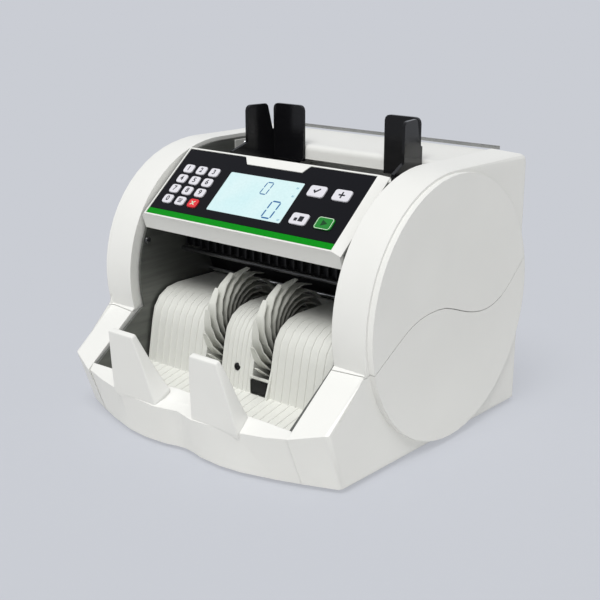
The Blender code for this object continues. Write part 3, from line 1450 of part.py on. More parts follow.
def rear_holes(parent):
    """Vent slots on both sides, and the holes of inlet and switch."""
    maker = bmesh.new()
    holes = []
    for side in (-1, 1):
        for row in range(VENT_ROWS):
            holes.append(((side * VENT_X, VENT_LOW + row * VENT_PITCH), (VENT_LENGTH, VENT_HEIGHT)))
    gap = 2 * SEAT_GAP
    holes.append(((INLET_X, INLET_Z), (INLET_SIZE[0] + gap, INLET_SIZE[1] + gap)))
    rocker = (2 * (SWITCH_HALF_WIDTH + SEAT_GAP), 2 * (SWITCH_HALF_HEIGHT + SWITCH_RIM))
    holes.append(((SWITCH_X, INLET_Z), rocker))
    for centre, size in holes:
        low_y = DEPTH - SHELL - SWITCH_DEPTH - OVERRUN
        high_y = DEPTH + OVERRUN
        outline = frame_rectangle(size[0] / 2, centre[1] - size[1] / 2, centre[1] + size[1] / 2)
        rings = [[maker.verts.new((centre[0] + x, y, z)) for x, z in outline] for y in (low_y, high_y)]
        ring_faces(maker, rings)
        maker.faces.new(rings[0])
        maker.faces.new(rings[1])
    return new_object("rear_holes", maker, None, parent)


def power_inlet(parent):
    """Recessed inlet with three flat pins."""
    width, height = INLET_SIZE
    outer = DEPTH + SEAT_GAP + INLET_FLANGE
    low = (INLET_X - width / 2, outer - INLET_FLANGE - INLET_DEPTH, INLET_Z - height / 2)
    high = (INLET_X + width / 2, outer, INLET_Z + height / 2)
    inlet = new_object("power_inlet", box_mesh(low, high), black_plastic(), parent)
    low = (low[0] - INLET_FLANGE, DEPTH + SEAT_GAP, low[2] - INLET_FLANGE)
    high = (high[0] + INLET_FLANGE, outer, high[2] + INLET_FLANGE)
    join(inlet, new_object("inlet_flange", box_mesh(low, high), None, parent))
    low = (INLET_X - INLET_SOCKET[0] / 2, outer - INLET_SOCKET_DEPTH, INLET_Z - INLET_SOCKET[1] / 2)
    high = (INLET_X + INLET_SOCKET[0] / 2, outer + OVERRUN, INLET_Z + INLET_SOCKET[1] / 2)
    cut(inlet, new_object("inlet_socket", box_mesh(low, high), None, parent))
    for step, rise in ((-1, -1), (0, 1), (1, -1)):
        x = INLET_X + step * PIN_SPREAD
        z = INLET_Z + rise * PIN_SIZE[0]
        pin_low = (x - PIN_SIZE[0] / 2, outer - INLET_SOCKET_DEPTH - OVERRUN, z - PIN_SIZE[1] / 2)
        pin_high = (x + PIN_SIZE[0] / 2, outer - INLET_SOCKET_DEPTH + PIN_LENGTH, z + PIN_SIZE[1] / 2)
        join(inlet, new_object("inlet_pin", box_mesh(pin_low, pin_high), None, parent))
    return inlet


def switch_bezel(parent):
    """Raised rim and inner box round the rocker, moulded on the rear panel."""
    half_x = SWITCH_HALF_WIDTH + SWITCH_RIM
    half_z = SWITCH_HALF_HEIGHT + 2 * SWITCH_RIM
    low = (SWITCH_X - half_x, DEPTH - SHELL - SWITCH_DEPTH, INLET_Z - half_z)
    high = (SWITCH_X + half_x, DEPTH + SWITCH_RIM / 2, INLET_Z + half_z)
    return new_object("switch_bezel", box_mesh(low, high), None, parent)


def power_switch(pivot):
    """Rocker with a shallow V face, tilted to its off side at rest."""
    half = SWITCH_HALF_HEIGHT
    face = DEPTH - SWITCH_PIVOT_Y + SWITCH_PROUD
    outline = [(-SWITCH_PROUD, -half / 2), (0, -half), (face, -half), (face - SWITCH_PROUD / 3, 0), (face, half)]
    outline += [(0, half), (-SWITCH_PROUD, half / 2)]
    width = SWITCH_HALF_WIDTH
    rocker = new_object("power_switch", prism_mesh(outline, -width, width), dark_rubber(), pivot)
    rocker.rotation_euler = (math.radians(SWITCH_TILT), 0, 0)
    return rocker


def circuit_board(parent):
    """Board on the rear panel's bosses, with its tallest components."""
    low = (-BOARD_HALF, BOARD_Y, BOARD_LOW)
    high = (BOARD_HALF, BOARD_Y + BOARD_THICKNESS, BOARD_HIGH)
    board = new_object("main_board", box_mesh(low, high), board_green(), parent)
    third = (BOARD_HIGH - BOARD_LOW) / 3
    parts = ((-BOARD_HALF / 2, third, third / 2), (0, 2 * third, third / 3), (BOARD_HALF / 2, third, third / 4))
    for x, up, size in parts:
        low = (x - size, BOARD_Y - size / 3, BOARD_LOW + up - size / 2)
        high = (x + size, BOARD_Y + BOARD_THICKNESS / 2, BOARD_LOW + up + size / 2)
        join(board, new_object("board_part", box_mesh(low, high), None, parent))
    return board


def power_supply(parent):
    made = new_object("power_supply", box_mesh(SUPPLY_LOW, SUPPLY_HIGH), grey_metal(), parent)
    round_edges(made, SHEET, 1)
    return made


def build_housing(origin):
    base_housing(origin)
    side_cover("left_side_cover", origin, -1)
    side_cover("right_side_cover", origin, 1)
    front_lip(origin)
    stacker_guide(origin)
    rear_housing(origin)
    rear_panel(origin)
    top_plate(origin)
    places = (("front_left_foot", -FOOT_X, FOOT_FRONT), ("front_right_foot", FOOT_X, FOOT_FRONT))
    places += (("rear_left_foot", -FOOT_X, FOOT_REAR), ("rear_right_foot", FOOT_X, FOOT_REAR))
    for name, x, y in places:
        foot(name, origin, x, y)


def build_panel(origin):
    tilted = new_empty("panel_plane", origin, (0, *PANEL_FRONT), PANEL_TILT)
    panel_face(origin, tilted)
    control_overlay(tilted)
    green_stripe(tilted)
    display_window(tilted)
    for name, centre, size, finish in key_places():
        key(name, tilted, centre, size, finish)


def build_frames(origin):
    side_frame("left_side_frame", origin, -1)
    side_frame("right_side_frame", origin, 1)
    inner = FRAME_HALF - SHEET - SCREW_HEAD
    screw("left_frame_screw", origin, (-inner, *FRAME_SCREW), math.pi)
    screw("stacker_screw", origin, (0, screw_face_y(), SCREW_Z), math.pi / 2)
    hopper_floor(origin)
    note_comb(origin)
    lower_note_guide(origin)
    tie_rod("front_tie_rod", origin, FRONT_ROD)
    tie_rod("rear_tie_rod", origin, REAR_ROD)
    retard = new_empty("retard_axis", origin, (0, *RETARD_AXIS))
    half = FRAME_HALF - SHEET - SEAT_GAP
    roller("retard_roller", retard, RETARD_RADIUS, FEED_INNER, FEED_OUTER, -half, half)


def build_rotors(origin):
    """Everything that the belt turns, each on an empty that lies on its axis."""
    end = PULLEY_LOW + PULLEY_WIDTH
    fan = new_empty("fan_axis", origin, (0, FAN_Y, FAN_Z))
    shaft("fan_shaft", fan, SHAFT_RADIUS, -FRAME_HALF, end, bright_metal())
    fan_wheel("left_fan_wheel", fan, -FAN_X)
    fan_wheel("right_fan_wheel", fan, FAN_X)
    pulley("fan_pulley", fan, FAN_PULLEY, SHAFT_RADIUS, black_plastic())
    feed = new_empty("feed_axis", origin, (0, *FEED_AXIS))
    roller("feed_roller", feed, FEED_RADIUS, FEED_INNER, FEED_OUTER, -FRAME_HALF, end)
    pulley("feed_pulley", feed, FEED_PULLEY, SHAFT_RADIUS, black_plastic())
    pickup = new_empty("pickup_axis", origin, (0, *PICKUP_AXIS))
    roller("pickup_roller", pickup, PICKUP_RADIUS, PICKUP_INNER, PICKUP_OUTER, -FRAME_HALF, end)
    pulley("pickup_pulley", pickup, FEED_PULLEY, SHAFT_RADIUS, black_plastic())
    motor(origin)
    motor_axis = new_empty("motor_axis", origin, (0, *MOTOR_AXIS))
    motor_pulley(motor_axis)
    drive_belt(origin)


def build_hopper_guides(origin):
    guide_rail(origin)
    for name, side in (("left_hopper_guide", -1), ("right_hopper_guide", 1)):
        rail_point = new_empty(name + "_rail_point", origin, (0, *RAIL_AXIS))
        hopper_guide(name, rail_point, side)


def build_electrics(origin):
    power_inlet(origin)
    pivot = new_empty("switch_pivot", origin, (SWITCH_X, SWITCH_PIVOT_Y, INLET_Z))
    power_switch(pivot)
    circuit_board(origin)
    power_supply(origin)


def main():
    clear_scene()
    origin = new_empty("counter_origin", None, (0, -ORIGIN_Y, FOOT_HEIGHT))
    build_housing(origin)
    build_panel(origin)
    build_frames(origin)
    build_rotors(origin)
    build_hopper_guides(origin)
    build_electrics(origin)


main()
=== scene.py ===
"""Looks of the banknote counter: materials, printed legends, display digits and small fittings.

Lengths are in metres. The housing's own frame has Y = 0 at the foot of the front cheeks and
Z = 0 under the housing. spot() and panel_matrix() bring places from it into the row's frame.
On the panel, X runs to the operator's right, Y up the slope and Z out of it.
"""

import json
import math

import bmesh
import bpy
from mathutils import Matrix, Vector

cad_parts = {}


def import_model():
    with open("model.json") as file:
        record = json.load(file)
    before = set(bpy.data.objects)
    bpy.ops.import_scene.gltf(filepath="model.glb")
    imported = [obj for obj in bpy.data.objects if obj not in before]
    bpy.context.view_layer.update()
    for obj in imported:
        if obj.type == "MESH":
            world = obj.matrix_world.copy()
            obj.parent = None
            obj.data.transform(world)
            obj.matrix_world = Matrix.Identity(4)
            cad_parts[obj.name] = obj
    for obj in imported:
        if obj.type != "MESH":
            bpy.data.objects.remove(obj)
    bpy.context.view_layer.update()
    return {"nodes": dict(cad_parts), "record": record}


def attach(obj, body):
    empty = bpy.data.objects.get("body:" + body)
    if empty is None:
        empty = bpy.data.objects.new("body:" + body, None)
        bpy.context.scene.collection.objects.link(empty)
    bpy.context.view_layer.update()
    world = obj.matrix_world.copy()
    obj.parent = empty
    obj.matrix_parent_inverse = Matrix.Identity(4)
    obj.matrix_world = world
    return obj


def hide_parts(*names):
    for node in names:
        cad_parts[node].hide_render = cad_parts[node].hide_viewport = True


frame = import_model()

HOUSING = "housing"

# The housing's frame in the row's frame
ORIGIN_Y = 0.1008
FOOT_HEIGHT = 0.0035

# Panel plane, as in the CAD: its tilt, and the (y, z) of its front edge
PANEL_TILT = math.radians(40.5)
PANEL_FRONT = (0.0338, 0.1692)

# Camera that took the photograph, in the housing's frame
CAMERA_PLACE = (0.6021, -0.5836, 0.3707)
CAMERA_TURN = (math.radians(73.2), 0.0, math.radians(40.7))
CAMERA_LENS = 66.72
CAMERA_SENSOR = 36.0
CAMERA_NEAR = 0.01

# Light: one wide soft sun and an even world
SUN_DIRECTION = (0.20, -0.43, 0.88)
SUN_STRENGTH = 2.4
SUN_ANGLE = math.radians(34)
SUN_COLOUR = (1.0, 0.995, 0.98)
WORLD_STRENGTH = 0.40
WORLD_COLOUR = (0.97, 0.985, 1.0, 1)

# Backdrop and floor as they are seen, and the table's colour for the light that it throws back
BACKDROP = (0.591, 0.610, 0.658, 1)
FLOOR_COLOUR = (0.555, 0.573, 0.618, 1)
TABLE_COLOUR = (0.80, 0.80, 0.80, 1)
FLOOR_GLOW = 0.66
FLOOR_RADIUS = 6.0
FLOOR_SIDES = 64

# Shading of the CAD nodes, and how far materials soften their edges
SHARP_ANGLE = math.radians(32)
WELD_DISTANCE = 0.000001
EDGE_SOFTNESS = 0.0005
FINE_SOFTNESS = 0.00015
EDGE_SAMPLES = 4

# Nodes whose finish isn't that of their slot
OWN_FINISH = {
    "stacker_guide": "stacker_white",
    "note_comb": "dull_black",
    "lower_note_guide": "dull_black",
    "front_tie_rod": "black_steel",
    "hopper_floor": "white_plastic",
    "left_side_frame": "frame_sheet",
    "right_side_frame": "frame_sheet",
}

# Clear plate: how much it covers on its face and at its rear edge, and where that edge starts
# and ends along Y in the row's frame
PLATE_COVER = (0.012, 0.80)
PLATE_EDGE = (0.1474, 0.1482)

# Fan wheels: (y, z) of the axis, outer radius, and the painted shade: the colour by share of the
# radius, darkening from the tips towards the hub
FAN_AXIS = (0.0715, 0.0795)
FAN_RADIUS = 0.0450
FAN_PAINTED_SHADE = (
    (0.25, (0.05, 0.05, 0.045)),
    (0.55, (0.22, 0.22, 0.20)),
    (0.78, (0.50, 0.505, 0.465)),
    (0.93, (0.70, 0.705, 0.655)),
)

# Print on the keys and the display
PRINT_LIFT = 0.00004
DIGIT_HEIGHT = 0.0068
DIGIT_BOLDNESS = 0.02

# Keys, on the panel
KEY_TOP = 0.0011
NUMBER_KEY_LEFT = -0.0874
NUMBER_KEY_TOP = 0.0510
NUMBER_KEY_PITCH = (0.0151, 0.0113)
FUNCTION_KEY_X = (0.0565, 0.0815)
FUNCTION_KEY_Y = (0.0212, 0.0493)

# Signs on the keys: bars and boxes as (width, height), and outlines, round the key's middle
MENU_BAR = (0.0042, 0.0009)
MENU_BAR_PITCH = 0.0015
CROSS_REACH = 0.0019
CROSS_HALF_WIDTH = 0.0007
PLUS_BAR = (0.0062, 0.0014)
SMALL_BOX = (0.0030, 0.0030)
SMALL_BOX_PLACE = (-0.0028, -0.0010)
LARGE_BOX = (0.0046, 0.0050)
LARGE_BOX_PLACE = (0.0022, 0.0)
TICK = (
    (-0.0034, 0.0003),
    (-0.0024, 0.0013),
    (-0.0010, -0.0001),
    (0.0026, 0.0029),
    (0.0035, 0.0018),
    (-0.0010, -0.0024),
)
TRIANGLE = ((-0.0024, -0.0030), (0.0034, 0.0), (-0.0024, 0.0030))

# Line round the start key's top: width, height and corner radius, and its own width
START_RIM = (0.0150, 0.0110, 0.0022)
RIM_LINE = 0.0005

# Display, on the panel. A segment's gap is a share of its thickness.
DISPLAY_LEVEL = -0.0002
DISPLAY_ZEROS = (
    {"x": 0.0025, "y": 0.0386, "width": 0.0066, "height": 0.0123, "thick": 0.00105, "lean": 0.10},
    {"x": 0.0190, "y": 0.0168, "width": 0.0091, "height": 0.0168, "thick": 0.00145, "lean": 0.08},
)
SEGMENT_GAP = 0.3
DISPLAY_MARKS = ((0.0362, 0.0499), (0.0364, 0.0416), (0.0369, 0.0173))
MARK_STROKE = (0.0005, 0.0013)
MARK_PITCH = 0.0009
MARK_LEAN = 0.2
MARK_LINE = (0.0024, 0.0003)
MARK_LINE_DROP = 0.0009

# Fittings that only the scene has, as (lowest corner, highest corner)
SENSOR_WINDOW = ((0.0186, 0.0335, 0.0352), (0.0354, 0.0350, 0.0470))
SENSOR_FRAME_LEFT = ((0.0181, 0.0330, 0.0352), (0.0186, 0.0350, 0.0470))
SENSOR_FRAME_LOW = ((0.0186, 0.0330, 0.0352), (0.0354, 0.0335, 0.0358))
HOPPER_BRACKET = ((-0.1083, 0.1500, 0.2020), (-0.1071, 0.1760, 0.2165))
HOPPER_BAFFLE = ((-0.1070, 0.1936, 0.1860), (0.1070, 0.1950, 0.2120))
BLOCK_EDGE = 0.0004
BLOCK_CORNER_STEPS = 3

# Screws: their seats, and a head's (height, share of the radius) from its foot to its crown
BRACKET_SCREW = (-0.1071, 0.1640, 0.2120)
STACKER_SCREW = (0.0, 0.0372, 0.0526)
LEFT_FRAME_SCREW = (-0.1078, 0.0399, 0.1422)
RIGHT_FRAME_SCREW = (0.1078, 0.0399, 0.1422)
BRACKET_SCREW_RADIUS = 0.0030
SCREW_RADIUS = 0.0031
SCREW_PROFILE = ((-0.0010, 1.0), (0.0003, 1.0), (0.0009, 0.88), (0.0013, 0.62), (0.00145, 0.2))
SCREW_SEGMENTS = 28
SCREW_SHARP_ANGLE = math.radians(35)

# Screw's cross: half its bars' width and their reach as shares of the radius, and its heights
RECESS_HALF_WIDTH = 0.15
RECESS_REACH = 0.58
RECESS_HEIGHTS = (0.0007, 0.003)


def spot(x, y, z):
    """A place in the housing's frame, brought into the row's frame."""
    return Vector((x, y - ORIGIN_Y, z + FOOT_HEIGHT))


def panel_matrix():
    """Brings places on the panel into the row's frame."""
    place = Matrix.Translation(spot(0, *PANEL_FRONT))
    return place @ Matrix.Rotation(PANEL_TILT, 4, "X")


def new_object(name, data):
    """A linked object that holds a mesh, curve, light or camera."""
    made = bpy.data.objects.new(name, data)
    bpy.context.scene.collection.objects.link(made)
    return made


def new_mesh(maker, name, matrix=None):
    """Turns a bmesh into a mesh and frees it."""
    mesh = bpy.data.meshes.new(name)
    maker.to_mesh(mesh)
    maker.free()
    if matrix:
        mesh.transform(matrix)
    return mesh


# Materials


class Nodes:
    """Short calls to build a material's node tree."""

    def __init__(self, name, softness=EDGE_SOFTNESS):
        self.softness = softness
        self.material = bpy.data.materials.new(name)
        self.material.use_nodes = True
        self.tree = self.material.node_tree
        self.shader = self.tree.nodes["Principled BSDF"]
        coordinates = self.tree.nodes.new("ShaderNodeTexCoord")
        self.place = coordinates.outputs["Object"]

    def set(self, **values):
        """Sets the shader's own sockets, named with _ for each space."""
        for label, value in values.items():
            self.shader.inputs[label.replace("_", " ")].default_value = value

    def link(self, output, target):
        self.tree.links.new(output, target)

    def noise(self, scale, detail=2.0, roughness=0.5, stretch=None):
        node = self.tree.nodes.new("ShaderNodeTexNoise")
        node.inputs["Scale"].default_value = scale
        node.inputs["Detail"].default_value = detail
        node.inputs["Roughness"].default_value = roughness
        place = self.place
        if stretch:
            mapping = self.tree.nodes.new("ShaderNodeMapping")
            mapping.inputs["Scale"].default_value = stretch
            self.link(place, mapping.inputs["Vector"])
            place = mapping.outputs["Vector"]
        self.link(place, node.inputs["Vector"])
        return node.outputs["Fac"]

    def ramp(self, factor, stops):
        """A colour by factor, from (position, colour) stops."""
        node = self.tree.nodes.new("ShaderNodeValToRGB")
        elements = node.color_ramp.elements
        for element, (position, colour) in zip(elements, (stops[0], stops[-1])):
            element.position = position
            element.color = (*colour, 1)
        for position, colour in stops[1:-1]:
            elements.new(position).color = (*colour, 1)
        self.link(factor, node.inputs["Fac"])
        return node.outputs["Color"]

    def fade(self, factor, first, last, margin=0.3):
        """A colour that goes from first to last, and stays even over the margin at each end."""
        return self.ramp(factor, ((margin, first), (1 - margin, last)))

    def span(self, factor, low, high, start=0.0, end=1.0):
        """Maps a factor between start and end onto low to high."""
        node = self.tree.nodes.new("ShaderNodeMapRange")
        node.inputs["From Min"].default_value = start
        node.inputs["From Max"].default_value = end
        node.inputs["To Min"].default_value = low
        node.inputs["To Max"].default_value = high
        self.link(factor, node.inputs["Value"])
        return node.outputs["Result"]

    def bump(self, *layers):
        """Bump layers, each (height, distance), one on the other, over slightly softened edges."""
        edges = self.tree.nodes.new("ShaderNodeBevel")
        edges.samples = EDGE_SAMPLES
        edges.inputs["Radius"].default_value = self.softness
        normal = edges.outputs["Normal"]
        for height, distance in layers:
            node = self.tree.nodes.new("ShaderNodeBump")
            node.inputs["Distance"].default_value = distance
            self.link(height, node.inputs["Height"])
            self.link(normal, node.inputs["Normal"])
            normal = node.outputs["Normal"]
        self.link(normal, self.shader.inputs["Normal"])

    def colour(self, output):
        self.link(output, self.shader.inputs["Base Color"])

    def rough(self, output):
        self.link(output, self.shader.inputs["Roughness"])


def shade(colour, factor):
    return tuple(min(1.0, channel * factor) for channel in colour)


def moulded(name, colour, roughness, grain, spread=0.06, mottle=0.03, softness=EDGE_SOFTNESS):
    """Moulded plastic: a fine spark-eroded grain, faint flow marks and handling haze."""
    nodes = Nodes(name, softness)
    haze = nodes.noise(9.0, 3.0)
    nodes.colour(nodes.fade(haze, shade(colour, 1 - mottle), shade(colour, 1 + mottle)))
    nodes.rough(nodes.span(nodes.noise(55.0, 4.0), roughness - spread, roughness + spread))
    nodes.bump((nodes.noise(5200.0, 1.0), grain), (nodes.noise(300.0), grain / 2))
    nodes.set(IOR=1.5)
    return nodes


def white_plastic():
    return moulded("white_moulding", (0.80, 0.80, 0.775), 0.40, 0.000018).material


def stacker_white():
    """Stacker guide: the same white, a little creamier and duller."""
    colour = (0.74, 0.745, 0.705)
    return moulded("stacker_moulding", colour, 0.46, 0.00002, softness=FINE_SOFTNESS).material


def fan_plastic():
    """Fan wheel: pale tips, and painted shade that darkens it towards the hub."""
    nodes = moulded("fan_moulding_painted_shade", (0.66, 0.665, 0.615), 0.45, 0.00001, softness=FINE_SOFTNESS)
    centre = nodes.tree.nodes.new("ShaderNodeMapping")
    centre.inputs["Location"].default_value = -spot(0, *FAN_AXIS)
    flat = nodes.tree.nodes.new("ShaderNodeVectorMath")
    flat.operation = "MULTIPLY"
    flat.inputs[1].default_value = (0, 1, 1)
    reach = nodes.tree.nodes.new("ShaderNodeVectorMath")
    reach.operation = "LENGTH"
    nodes.link(nodes.place, centre.inputs["Vector"])
    nodes.link(centre.outputs["Vector"], flat.inputs[0])
    nodes.link(flat.outputs["Vector"], reach.inputs[0])
    # Painted shade: the colour falls from the pale tips to near black at the hub
    share = nodes.span(reach.outputs["Value"], 0.0, 1.0, end=FAN_RADIUS)
    nodes.colour(nodes.ramp(share, FAN_PAINTED_SHADE))
    return nodes.material


def black_moulding(name, colour, roughness, grain, spread, mottle, specular):
    nodes = moulded(name, colour, roughness, grain, spread, mottle)
    nodes.set(Specular_IOR_Level=specular)
    return nodes.material


def gloss_black():
    return black_moulding("gloss_black", (0.005, 0.005, 0.006), 0.16, 0.000004, 0.05, 0.2, 0.25)


def dull_black():
    return black_moulding("dull_black", (0.008, 0.008, 0.009), 0.45, 0.00002, 0.08, 0.2, 0.2)


def membrane():
    return black_moulding("membrane", (0.004, 0.004, 0.006), 0.34, 0.000006, 0.05, 0.15, 0.1)


def rubber():
    return moulded("rubber", (0.022, 0.022, 0.023), 0.72, 0.00005, 0.08, 0.25).material


def key_cap(name, colour):
    return moulded(name, colour, 0.36, 0.000012, 0.05, 0.04).material


def turned_steel(name, dark, bright, roughness):
    """Steel rods and screws, with fine rings round their length."""
    nodes = Nodes(name)
    rings = nodes.noise(60.0, 3.0, 0.6, (90, 1, 1))
    nodes.colour(nodes.fade(rings, dark, bright, 0.2))
    nodes.rough(nodes.span(rings, *roughness))
    nodes.bump((rings, 0.00001))
    return nodes


def black_steel():
    """Blackened steel with a thin worn shine."""
    dark, bright = (0.010, 0.010, 0.011), (0.030, 0.030, 0.032)
    nodes = turned_steel("black_steel", dark, bright, (0.16, 0.26))
    nodes.set(Specular_IOR_Level=0.8)
    return nodes.material


def ground_steel():
    dark, bright = (0.50, 0.50, 0.51), (0.74, 0.74, 0.75)
    nodes = turned_steel("ground_steel", dark, bright, (0.14, 0.30))
    nodes.set(Metallic=1.0)
    return nodes.material


def coated_sheet(name="coated_sheet", colour=(0.16, 0.165, 0.155), metallic=0.55):
    """Coated steel sheet: fine orange peel and long faint rolling streaks."""
    nodes = Nodes(name)
    streaks = nodes.noise(18.0, 4.0, 0.6, (1, 1, 14))
    nodes.colour(nodes.fade(streaks, shade(colour, 0.82), shade(colour, 1.18), 0.25))
    nodes.rough(nodes.span(nodes.noise(40.0, 3.0), 0.36, 0.52))
    nodes.bump((nodes.noise(1400.0), 0.00002))
    nodes.set(Metallic=metallic)
    return nodes.material


def ink(name, colour, specular=0.3):
    """Printed ink with slightly uneven cover."""
    nodes = Nodes(name)
    nodes.set(Specular_IOR_Level=specular)
    cover = nodes.noise(900.0, 3.0)
    nodes.colour(nodes.fade(cover, shade(colour, 0.85), shade(colour, 1.1)))
    nodes.rough(nodes.span(cover, 0.34, 0.46))
    return nodes.material


def lit_display():
    """Backlit display: a glow that varies softly, over finely mottled glass."""
    nodes = Nodes("lit_display")
    glow = nodes.fade(nodes.noise(26.0), (0.70, 0.93, 0.95), (0.82, 0.97, 0.97))
    nodes.link(glow, nodes.shader.inputs["Emission Color"])
    nodes.colour(nodes.fade(nodes.noise(500.0), (0.10, 0.17, 0.18), (0.14, 0.21, 0.22)))
    nodes.rough(nodes.span(nodes.noise(400.0), 0.12, 0.18))
    nodes.set(Emission_Strength=0.72, Specular_IOR_Level=0.2)
    return nodes.material


def clear_sheet():
    """Clear acrylic plate: nearly unseen on its face, darker in its sawn rear edge."""
    nodes = Nodes("clear_sheet")
    haze = nodes.noise(30.0, 3.0)
    nodes.colour(nodes.fade(haze, (0.20, 0.20, 0.17), (0.30, 0.30, 0.27)))
    nodes.rough(nodes.span(haze, 0.08, 0.16))
    parts = nodes.tree.nodes.new("ShaderNodeSeparateXYZ")
    nodes.link(nodes.place, parts.inputs["Vector"])
    cover = nodes.span(parts.outputs["Y"], *PLATE_COVER, *PLATE_EDGE)
    nodes.link(cover, nodes.shader.inputs["Alpha"])
    nodes.set(IOR=1.46)
    return nodes.material


def board_laminate():
    nodes = Nodes("board_laminate")
    weave = nodes.noise(700.0)
    nodes.colour(nodes.fade(weave, (0.012, 0.13, 0.05), (0.02, 0.20, 0.08)))
    nodes.rough(nodes.span(weave, 0.35, 0.5))
    nodes.bump((weave, 0.00003))
    return nodes.material


def make_finishes():
    """The object's finishes, by slot, and those that some nodes and fittings have of their own."""
    return {
        "white_plastic": white_plastic(),
        "black_plastic": gloss_black(),
        "overlay_black": membrane(),
        "fan_plastic": fan_plastic(),
        "grey_metal": coated_sheet(),
        "bright_metal": ground_steel(),
        "dark_rubber": rubber(),
        "key_white": key_cap("key_pale", (0.70, 0.69, 0.74)),
        "key_green": key_cap("key_start_green", (0.0, 0.20, 0.012)),
        "key_red": key_cap("key_clear_red", (0.70, 0.02, 0.03)),
        "stripe_green": ink("green_field", (0.0, 0.25, 0.006), 0.1),
        "display_glass": lit_display(),
        "clear_plastic": clear_sheet(),
        "board_green": board_laminate(),
        "stacker_white": stacker_white(),
        "dull_black": dull_black(),
        "black_steel": black_steel(),
        "frame_sheet": coated_sheet("frame_sheet", (0.13, 0.135, 0.125)),
        "zinc_plate": coated_sheet("zinc_plate", (0.60, 0.60, 0.58), 0.2),
    }


# CAD nodes


def paint_nodes(finishes):
    """Gives every CAD node the finish of its slot, or its own."""
    for entry in frame["record"]["subparts"]:
        name = entry["node"]
        materials = frame["nodes"][name].data.materials
        materials.clear()
        materials.append(finishes[OWN_FINISH.get(name, entry["material_slot"])])


def smoothing_tree():
    """Geometry nodes that weld a CAD mesh and shade it smooth, with its real edges kept sharp."""
    tree = bpy.data.node_groups.new("smooth_shading", "GeometryNodeTree")
    tree.interface.new_socket("Geometry", in_out="INPUT", socket_type="NodeSocketGeometry")
    tree.interface.new_socket("Geometry", in_out="OUTPUT", socket_type="NodeSocketGeometry")
    nodes = tree.nodes
    start = nodes.new("NodeGroupInput")
    end = nodes.new("NodeGroupOutput")
    weld = nodes.new("GeometryNodeMergeByDistance")
    weld.inputs["Distance"].default_value = WELD_DISTANCE
    plain = nodes.new("GeometryNodeRemoveAttribute")
    plain.inputs["Name"].default_value = "custom_normal"
    faces = nodes.new("GeometryNodeSetShadeSmooth")
    faces.domain = "FACE"
    edges = nodes.new("GeometryNodeSetShadeSmooth")
    edges.domain = "EDGE"
    edges.inputs["Shade Smooth"].default_value = False
    angle = nodes.new("GeometryNodeInputMeshEdgeAngle")
    sharp = nodes.new("FunctionNodeCompare")
    sharp.data_type = "FLOAT"
    sharp.operation = "GREATER_THAN"
    sharp.inputs[1].default_value = SHARP_ANGLE
    link = tree.links.new
    link(start.outputs[0], weld.inputs["Geometry"])
    link(weld.outputs[0], plain.inputs["Geometry"])
    link(plain.outputs[0], faces.inputs["Geometry"])
    link(faces.outputs[0], edges.inputs["Geometry"])
    link(angle.outputs["Unsigned Angle"], sharp.inputs[0])
    link(sharp.outputs[0], edges.inputs["Selection"])
    link(edges.outputs[0], end.inputs[0])
    return tree


def smooth_nodes():
    """Rounds the shading of the CAD's curved walls, and leaves their shapes alone."""
    tree = smoothing_tree()
    for node in frame["nodes"].values():
        node.modifiers.new("smooth", "NODES").node_group = tree
        weighted = node.modifiers.new("weighted", "WEIGHTED_NORMAL")
        weighted.keep_sharp = True


# Outlines: lists of (x, y)


def slanted(outline, lean):
    return [(x + y * lean, y) for x, y in outline]


def moved(outline, x, y):
    return [(a + x, b + y) for a, b in outline]


def rectangle(width, height):
    x, y = width / 2, height / 2
    return [(-x, -y), (x, -y), (x, y), (-x, y)]


def rounded(width, height, radius, steps=5):
    """A rectangle with round corners."""
    outline = []
    for turn, (right, up) in enumerate(((1, 1), (-1, 1), (-1, -1), (1, -1))):
        for step in range(steps + 1):
            angle = math.radians(90) * (turn + step / steps)
            x = right * (width / 2 - radius) + radius * math.cos(angle)
            outline.append((x, up * (height / 2 - radius) + radius * math.sin(angle)))
    return outline


def bar_between(start, end, thick):
    """A bar with pointed ends between two points."""
    first, last = Vector(start), Vector(end)
    along = (last - first).normalized() * thick / 2
    across = Vector((-along.y, along.x))
    points = (
        first,
        first + along + across,
        last - along + across,
        last,
        last - along - across,
        first + along - across,
    )
    return [(point.x, point.y) for point in points]


def segment_zero(x, y, width, height, thick, lean):
    """A seven-segment zero: six bars with pointed ends."""
    gap = thick * SEGMENT_GAP
    outlines = []
    for up in (0, height):
        outlines.append(bar_between((gap, up), (width - gap, up), thick))
    for across in (0, width):
        for up in (0, height / 2):
            outlines.append(bar_between((across, up + gap), (across, up + height / 2 - gap), thick))
    return [moved(slanted(outline, lean), x, y) for outline in outlines]


# Solids and pieces


def wall(maker, lower, upper):
    """Faces between two rings of vertices."""
    for here in range(len(lower)):
        there = (here + 1) % len(lower)
        maker.faces.new((lower[here], lower[there], upper[there], upper[here]))


def loft(maker, rings):
    """A solid through rings of places, closed at both ends."""
    rings = [[maker.verts.new(place) for place in ring] for ring in rings]
    for lower, upper in zip(rings, rings[1:]):
        wall(maker, lower, upper)
    maker.faces.new(rings[0][::-1])
    maker.faces.new(rings[-1])


def add_plate(maker, outline, low, high):
    """A plate between z = low and z = high."""
    loft(maker, [[(x, y, z) for x, y in outline] for z in (low, high)])


def add_print(maker, outline, level):
    """A thin print on a surface at z = level."""
    add_plate(maker, outline, level - PRINT_LIFT / 2, level + PRINT_LIFT)


def finish_piece(maker, name, finish, body=HOUSING, matrix=None):
    """Turns a bmesh into a piece that rides on a body."""
    bmesh.ops.recalc_face_normals(maker, faces=maker.faces)
    piece = new_object(name, new_mesh(maker, name, matrix))
    piece.data.materials.append(finish)
    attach(piece, body)
    return piece


# Print on the keys and the display


